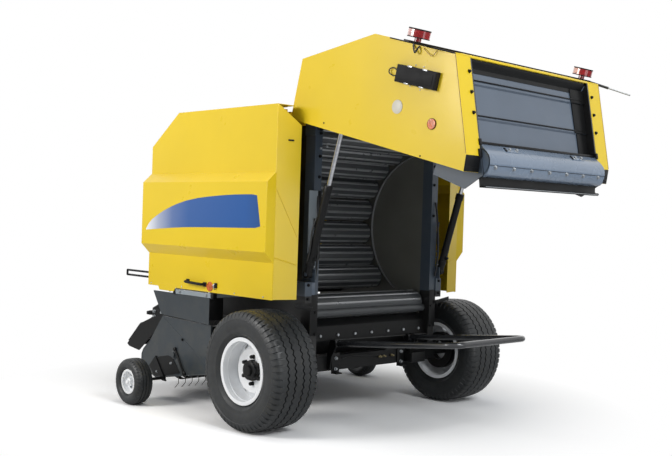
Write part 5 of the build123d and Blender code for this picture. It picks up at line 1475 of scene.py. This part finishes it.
class FitDrawbar(bpy.types.Operator):
    """Fits the jack's crank, the gearbox's ribs, the shaft guard's cone and the hitch's plates"""
    bl_idname = "baler.fit_drawbar"
    bl_label = "Fit Drawbar"

    def execute(self, context):
        low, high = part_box("jack_sleeve")
        jack_x, jack_y = low.x + 0.038, (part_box("jack_leg")[0].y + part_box("jack_leg")[1].y) / 2
        top = high.z
        jack = Shape()
        cap = basis((jack_x, jack_y, top), UP, (1, 0, 0))
        jack.turned([(0, 0.0), (0.043, 0.0), (0.044, 0.004), (0.044, 0.018), (0.038, 0.026), (0.018, 0.030),
                     (0.018, 0.046), (0, 0.046)], cap, 36)
        jack.tube([(jack_x, jack_y, top + 0.036), (jack_x + 0.010, jack_y + 0.02, top + 0.045),
                   (jack_x + 0.02, jack_y + 0.13, top + 0.045), (jack_x + 0.02, jack_y + 0.145, top + 0.060),
                   (jack_x + 0.02, jack_y + 0.148, top + 0.130)], 0.008, 10, 0, 3)
        jack.turned([(0, 0), (0.014, 0.002), (0.016, 0.02), (0.014, 0.075), (0, 0.08)],
                    basis((jack_x + 0.02, jack_y + 0.148, top + 0.085), UP, (1, 0, 0)), 20, 1)
        for z in (0.535, 0.700, 0.780, 0.960):
            jack.turned([(0.0382, -0.008), (0.0425, -0.008), (0.0425, 0.008), (0.0382, 0.008)],
                        basis((jack_x, jack_y, z), UP, (1, 0, 0)), 36)
        jack.make("jack_crank", "frame", ["black", "plastic"], "black_frame")
        gear = Shape()
        g_lo, g_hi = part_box("gearbox")
        for z in (g_lo.z + 0.03, g_lo.z + 0.10, g_lo.z + 0.17):
            gear.box((g_lo.x - 0.004, g_lo.y - 0.006, z), (g_hi.x - 0.034, g_hi.y + 0.006, z + 0.012), 0.004)
        gear.turned([(0.061, 0.0), (0.092, 0.0), (0.095, 0.004), (0.095, 0.014), (0.088, 0.020),
                     (0.061, 0.020)], basis((g_hi.x - 0.030, 0, INPUT_Z), (1, 0, 0), UP), 40)
        gear.turned([(0, 0), (0.022, 0), (0.022, 0.016), (0.014, 0.020), (0, 0.020)],
                    basis((g_lo.x + 0.14, 0.05, g_hi.z), UP, (1, 0, 0)), 6)
        gear.make("gearbox_ribs", "frame", "iron", "gearbox_iron")
        spots = []
        for a in (2 * pi * k / 6 for k in range(6)):
            spots.append(((g_hi.x - 0.011, 0.078 * cos(a), INPUT_Z + 0.078 * sin(a)), (1, 0, 0)))
        for x in (g_lo.x + 0.03, g_lo.x + 0.26):
            spots += [((x, y, g_hi.z), UP) for y in (g_lo.y + 0.03, g_hi.y - 0.03)]
        bolts("frame", spots, None, 0.016, "hex", "black")
        # Shaft guard: rings round its tube, and a cone open towards the free end
        shaft = Shape()
        mount = next(m for m in RECORD["mounts"] if m["name"] == "shaft_end")
        way = Vector(mount["axis"]).normalized()
        cone = basis(Vector(mount["pos_m"]) + way * 0.035, way, (0, 1, 0))
        for k in range(5):
            z, r = -0.215 - 0.03 * k, 0.0445 - 0.0008 * k
            shaft.turned([(0.039, z - 0.007), (r, z - 0.004), (r, z + 0.004), (0.039, z + 0.007)], cone, 32)
        shaft.turned([(0.061, -0.186), (0.066, -0.184), (0.068, -0.096), (0.064, -0.092),
                      (0.0405, -0.0925), (0.0405, -0.080), (0.033, -0.0785), (0.033, -0.0765),
                      (0.043, -0.078), (0.0655, -0.086), (0.0705, -0.094), (0.0705, -0.182),
                      (0.066, -0.190), (0.061, -0.190)], cone, 40)
        shaft.make("shaft_cones", "frame", "guard", "shaft_guard")
        hitch = Shape()
        h_x, h_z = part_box("drawbar")[1].x - 0.052, 0.500
        for sign in (1, -1):
            hitch.turned([(0.0202, 0.0152), (0.0330, 0.0152), (0.0345, 0.0170), (0.0330, 0.0200),
                          (0.0202, 0.0200)], basis((h_x, 0, h_z), (0, 0, sign), (1, 0, 0)), 36)
        for sign in (1, -1):
            hitch.box((h_x - 0.32, sign * 0.060 - 0.005, h_z - 0.045),
                      (h_x - 0.11, sign * 0.060 + 0.005, h_z + 0.055))
        hitch.make("hitch_plates", "frame", "black", "black_frame")
        pairs = [(Vector((h_x - dx, sign * 0.066, h_z + dz)), (0, sign, 0))
                 for dx in (0.28, 0.15) for dz in (-0.02, 0.03) for sign in (1, -1)]
        bolts("frame", pairs, None, 0.024)
        return {"FINISHED"}


class FitRoofAndFront(bpy.types.Operator):
    """Fits ribs to the roof and front cover, the lid's handle and hem, and the rails' brackets"""
    bl_idname = "baler.fit_roof_and_front"
    bl_label = "Fit Roof and Front"

    def execute(self, context):
        roof = Shape()
        deck_z = 2.245
        for x in (0.22, 0.44, 0.66, 0.88):
            roof.box(at(x - 0.030, -0.70, deck_z - 0.002), at(x + 0.030, 0.70, deck_z + 0.007), 0.005)
        roof.make("roof_ribs", "frame", "yellow", "yellow")
        front = Shape()
        f_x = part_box("front_cover")[1].x
        for z in (1.42, 1.60, 1.78):
            front.box((f_x - 0.002, -0.66, z - 0.025), (f_x + 0.006, 0.66, z + 0.025), 0.004)
        front.make("front_ribs", "frame", "yellow", "yellow")
        lid = Shape()
        lid_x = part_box("net_box_lid")[1].x
        half = [(0.001, 0.16, 1.972), (0.034, 0.15, 1.974), (0.042, 0.12, 1.975)]
        lid.tube([(lid_x + x, -y, z) for x, y, z in half] + [(lid_x + x, y, z) for x, y, z in half[::-1]],
                 0.009, 10, 0, 4)
        for y in (-0.55, 0.55):
            lid.box((lid_x - 0.001, y - 0.025, 1.950), (lid_x + 0.014, y + 0.025, 1.995), 0.003, 1)
        lid.make("lid_handle", "net_lid", ["plastic", "zinc"], "box_plastic")
        hem = Shape()
        for z, r in ((1.951, 0.004), (2.009, 0.003)):
            hem.tube([(lid_x - 0.002, -0.752, z), (lid_x - 0.002, 0.752, z)], r, 8)
        hem.make("lid_hem", "net_lid", "yellow", "yellow")
        rail = Shape()
        rail_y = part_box("door_rails")[1].y
        for sign in (1, -1):
            near, far = sorted((sign * (rail_y - 0.036), sign * (rail_y + 0.004)))
            for x in (0.630, 1.128):
                rail.box(at(x - 0.016, near, 0.866), at(x + 0.016, far, 0.909))
        rail.make("rail_brackets", "frame", "black", "black_frame")
        # Black sheets turned in at the skirts' rear ends: painted shade, closing the gap behind the skirts that
        # lies in shadow
        turned_in = Shape()
        low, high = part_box("side_skirts")
        turned_in.box((low.x - 0.003, high.y - 0.130, 0.700), (low.x + 0.003, high.y - 0.001, 0.868), 0.001)
        turned_in.mirrored()
        turned_in.make("skirt_returns", "frame", "black", "dark_plate")
        for sign in (1, -1):
            rail = [at(x, sign * (rail_y + 0.0005), 0.888) for x in (0.70, 1.05)]
            bolts("frame", rail, (0, sign, 0), 0.017)
            bolts("frame", [at(x, sign * 0.745, deck_z) for x in (0.10, 0.33, 0.55, 0.77, 1.00)], UP, 0.015)
            bolts("frame", [(f_x, sign * 0.735, z) for z in (1.33, 1.52, 1.70, 1.88)], (1, 0, 0), 0.015)
        return {"FINISHED"}


class SetFasteners(bpy.types.Operator):
    """Sets every noted bolt head, one mesh for each body, kind and size"""
    bl_idname = "baler.set_fasteners"
    bl_label = "Set Fasteners"

    def execute(self, context):
        groups = {}
        for body, kind, paint, size, spot, aim in FASTENERS:
            groups.setdefault((body, kind, paint), []).append((size, spot, aim))
        parts = {"hex": part_of(hex_bolt()), "dome": part_of(dome_head())}
        for (body, kind, paint), found in groups.items():
            made = []
            for size in sorted({f[0] for f in found}):
                own = [f for f in found if f[0] == size]
                name = f"{body}_{kind}_{paint}_{round(size * 1000)}"
                made.append(grown(name, "points", [f[1] for f in own], parts[kind], paint,
                                  aims=[f[2] for f in own], Size=size))
            obj = made[0]
            obj.name = f"{body}_{kind}_heads_{paint}"
            if len(made) > 1:
                bm = bmesh.new()
                for other in made:
                    bm.from_mesh(other.data)
                bm.to_mesh(obj.data)
                bm.free()
                for other in made[1:]:
                    drop(other)
            settle(tidied(obj), body, 30)
        for part in parts.values():
            drop(part)
        return {"FINISHED"}


class BuildStudio(bpy.types.Operator):
    """Lays the pale floor, hangs the lights and sets the camera"""
    bl_idname = "baler.build_studio"
    bl_label = "Build Studio"

    def execute(self, context):
        scene = context.scene
        floor_mesh = bpy.data.meshes.new("floor")
        reach = 80
        corners = [(-reach, -reach, 0), (reach, -reach, 0), (reach, reach, 0), (-reach, reach, 0)]
        floor_mesh.from_pydata(corners, [], [(0, 1, 2, 3)])
        floor = bpy.data.objects.new("floor", floor_mesh)
        scene.collection.objects.link(floor)
        floor_mesh.materials.append(floor_finish())
        sky = scene.world or bpy.data.worlds.new("studio")
        scene.world = sky
        sky.use_nodes = True
        nodes, link = sky.node_tree.nodes, sky.node_tree.links.new
        nodes.clear()
        out = nodes.new("ShaderNodeOutputWorld")
        mix = nodes.new("ShaderNodeMixShader")
        path = nodes.new("ShaderNodeLightPath")
        soft, white = nodes.new("ShaderNodeBackground"), nodes.new("ShaderNodeBackground")
        soft.inputs["Color"].default_value = (0.93, 0.96, 1.0, 1)
        soft.inputs["Strength"].default_value = 0.30
        white.inputs["Color"].default_value = (1, 1, 1, 1)
        white.inputs["Strength"].default_value = 1.0
        seen = path.outputs["Is Camera Ray"]
        for other in ("Is Glossy Ray", "Is Transmission Ray"):
            both = nodes.new("ShaderNodeMath")
            both.operation, both.use_clamp = "ADD", True
            link(seen, both.inputs[0])
            link(path.outputs[other], both.inputs[1])
            seen = both.outputs[0]
        link(seen, mix.inputs[0])
        link(soft.outputs[0], mix.inputs[1])
        link(white.outputs[0], mix.inputs[2])
        link(mix.outputs[0], out.inputs["Surface"])
        for name, spot, aim, size, power, tone in (
            ("key_light", at(2.0, 6.6, 3.9), at(0.2, 0.4, 1.1), 2.6, 258, (1.0, 0.98, 0.96)),
            ("fill_light", at(-6.0, 1.0, 5.4), at(-0.4, 0, 1.6), 2.5, 215, (0.96, 0.98, 1.0)),
            ("top_light", at(-0.6, 0.6, 7.5), at(-0.2, 0, 1.0), 4.0, 120, (1.0, 1.0, 1.0)),
            ("low_light", at(-6.5, 0.3, 1.3), at(0, 0, 0.9), 2.5, 40, (0.96, 0.98, 1.0)),
        ):
            data = bpy.data.lights.new(name, "AREA")
            data.shape, data.size, data.energy, data.color = "SQUARE", size, power, tone
            lamp = bpy.data.objects.new(name, data)
            lamp.matrix_world = basis(spot, spot - aim, UP)
            scene.collection.objects.link(lamp)
        eye = bpy.data.cameras.new("camera")
        eye.sensor_fit, eye.sensor_width, eye.lens = "HORIZONTAL", 36, 51.62
        eye.clip_start, eye.clip_end = 0.05, 300
        camera = bpy.data.objects.new("camera", eye)
        yaw, pitch, roll = radians(-43.767), radians(-0.632), radians(1.856)
        ahead = Vector((cos(pitch) * cos(yaw), cos(pitch) * sin(yaw), sin(pitch)))
        right = ahead.cross(Vector(UP)).normalized()
        up = right.cross(ahead)
        right, up = right * cos(roll) + up * sin(roll), up * cos(roll) - right * sin(roll)
        turn = Matrix((right, up, -ahead)).transposed().to_4x4()
        camera.matrix_world = Matrix.Translation(at(-5.2415, 5.3596, 1.5126)) @ turn
        scene.collection.objects.link(camera)
        scene.camera = camera
        scene.view_settings.view_transform = "Standard"
        return {"FINISHED"}


def floor_finish():
    """Pale floor that keeps the shadow near the machine and fades to white further out."""
    f = Finish("studio_floor")
    f.tree.nodes.remove(f.shader)
    lit, near = f.node("ShaderNodeBsdfDiffuse"), f.node("ShaderNodeBsdfDiffuse")
    lit.inputs["Color"].default_value = (0.80, 0.80, 0.80, 1)
    near.inputs["Color"].default_value = (1.25, 1.25, 1.25, 1)
    white = f.node("ShaderNodeEmission")
    white.inputs["Strength"].default_value = 1.0
    length = f.node("ShaderNodeVectorMath", operation="LENGTH")
    f.join(f.place, "Object", length, 0)
    fade = f.spread(length, "Value", 1.6, 2.7)
    path = f.node("ShaderNodeLightPath")
    seen = f.multiply(fade, path)
    shown = f.node("ShaderNodeMixShader")
    f.join(seen, 0, shown, 0)
    f.join(near, 0, shown, 1)
    f.join(white, 0, shown, 2)
    plain = f.node("ShaderNodeMixShader")
    f.join(path, "Is Camera Ray", plain, 0)
    f.join(lit, 0, plain, 1)
    f.join(shown, 0, plain, 2)
    f.join(plain, 0, f.out, "Surface")
    return f.material


class BALER_PT_dressing(bpy.types.Panel):
    """Lists the baler's operators, sizes and colours"""
    bl_label = "Round Baler"
    bl_space_type = "VIEW_3D"
    bl_region_type = "UI"
    bl_category = "Baler"

    def draw(self, context):
        for operator in OPERATORS:
            self.layout.operator(operator.bl_idname)
        for group in (context.scene.baler_sizes, context.scene.baler_colours):
            column = self.layout.column()
            for key in group.__annotations__:
                column.prop(group, key)


OPERATORS = (PaintSteelwork, MakeTyres, FitWheels, RibRolls, TrimTailgate, FitTailgateSides, DressDoors,
             FitFrameSides, FitUndercarriage, FitPickup, FitDrawbar, FitRoofAndFront, SetFasteners,
             BuildStudio)
CLASSES = (BalerColours, BalerSizes, *OPERATORS, BALER_PT_dressing)


def register():
    for cls in CLASSES:
        bpy.utils.register_class(cls)
    bpy.types.Scene.baler_colours = PointerProperty(type=BalerColours)
    bpy.types.Scene.baler_sizes = PointerProperty(type=BalerSizes)


def unregister():
    del bpy.types.Scene.baler_sizes
    del bpy.types.Scene.baler_colours
    for cls in reversed(CLASSES):
        bpy.utils.unregister_class(cls)


def main():
    register()
    for operator in OPERATORS:
        group, name = operator.bl_idname.split(".")
        getattr(getattr(bpy.ops, group), name)()


if __name__ == "__main__":
    main()
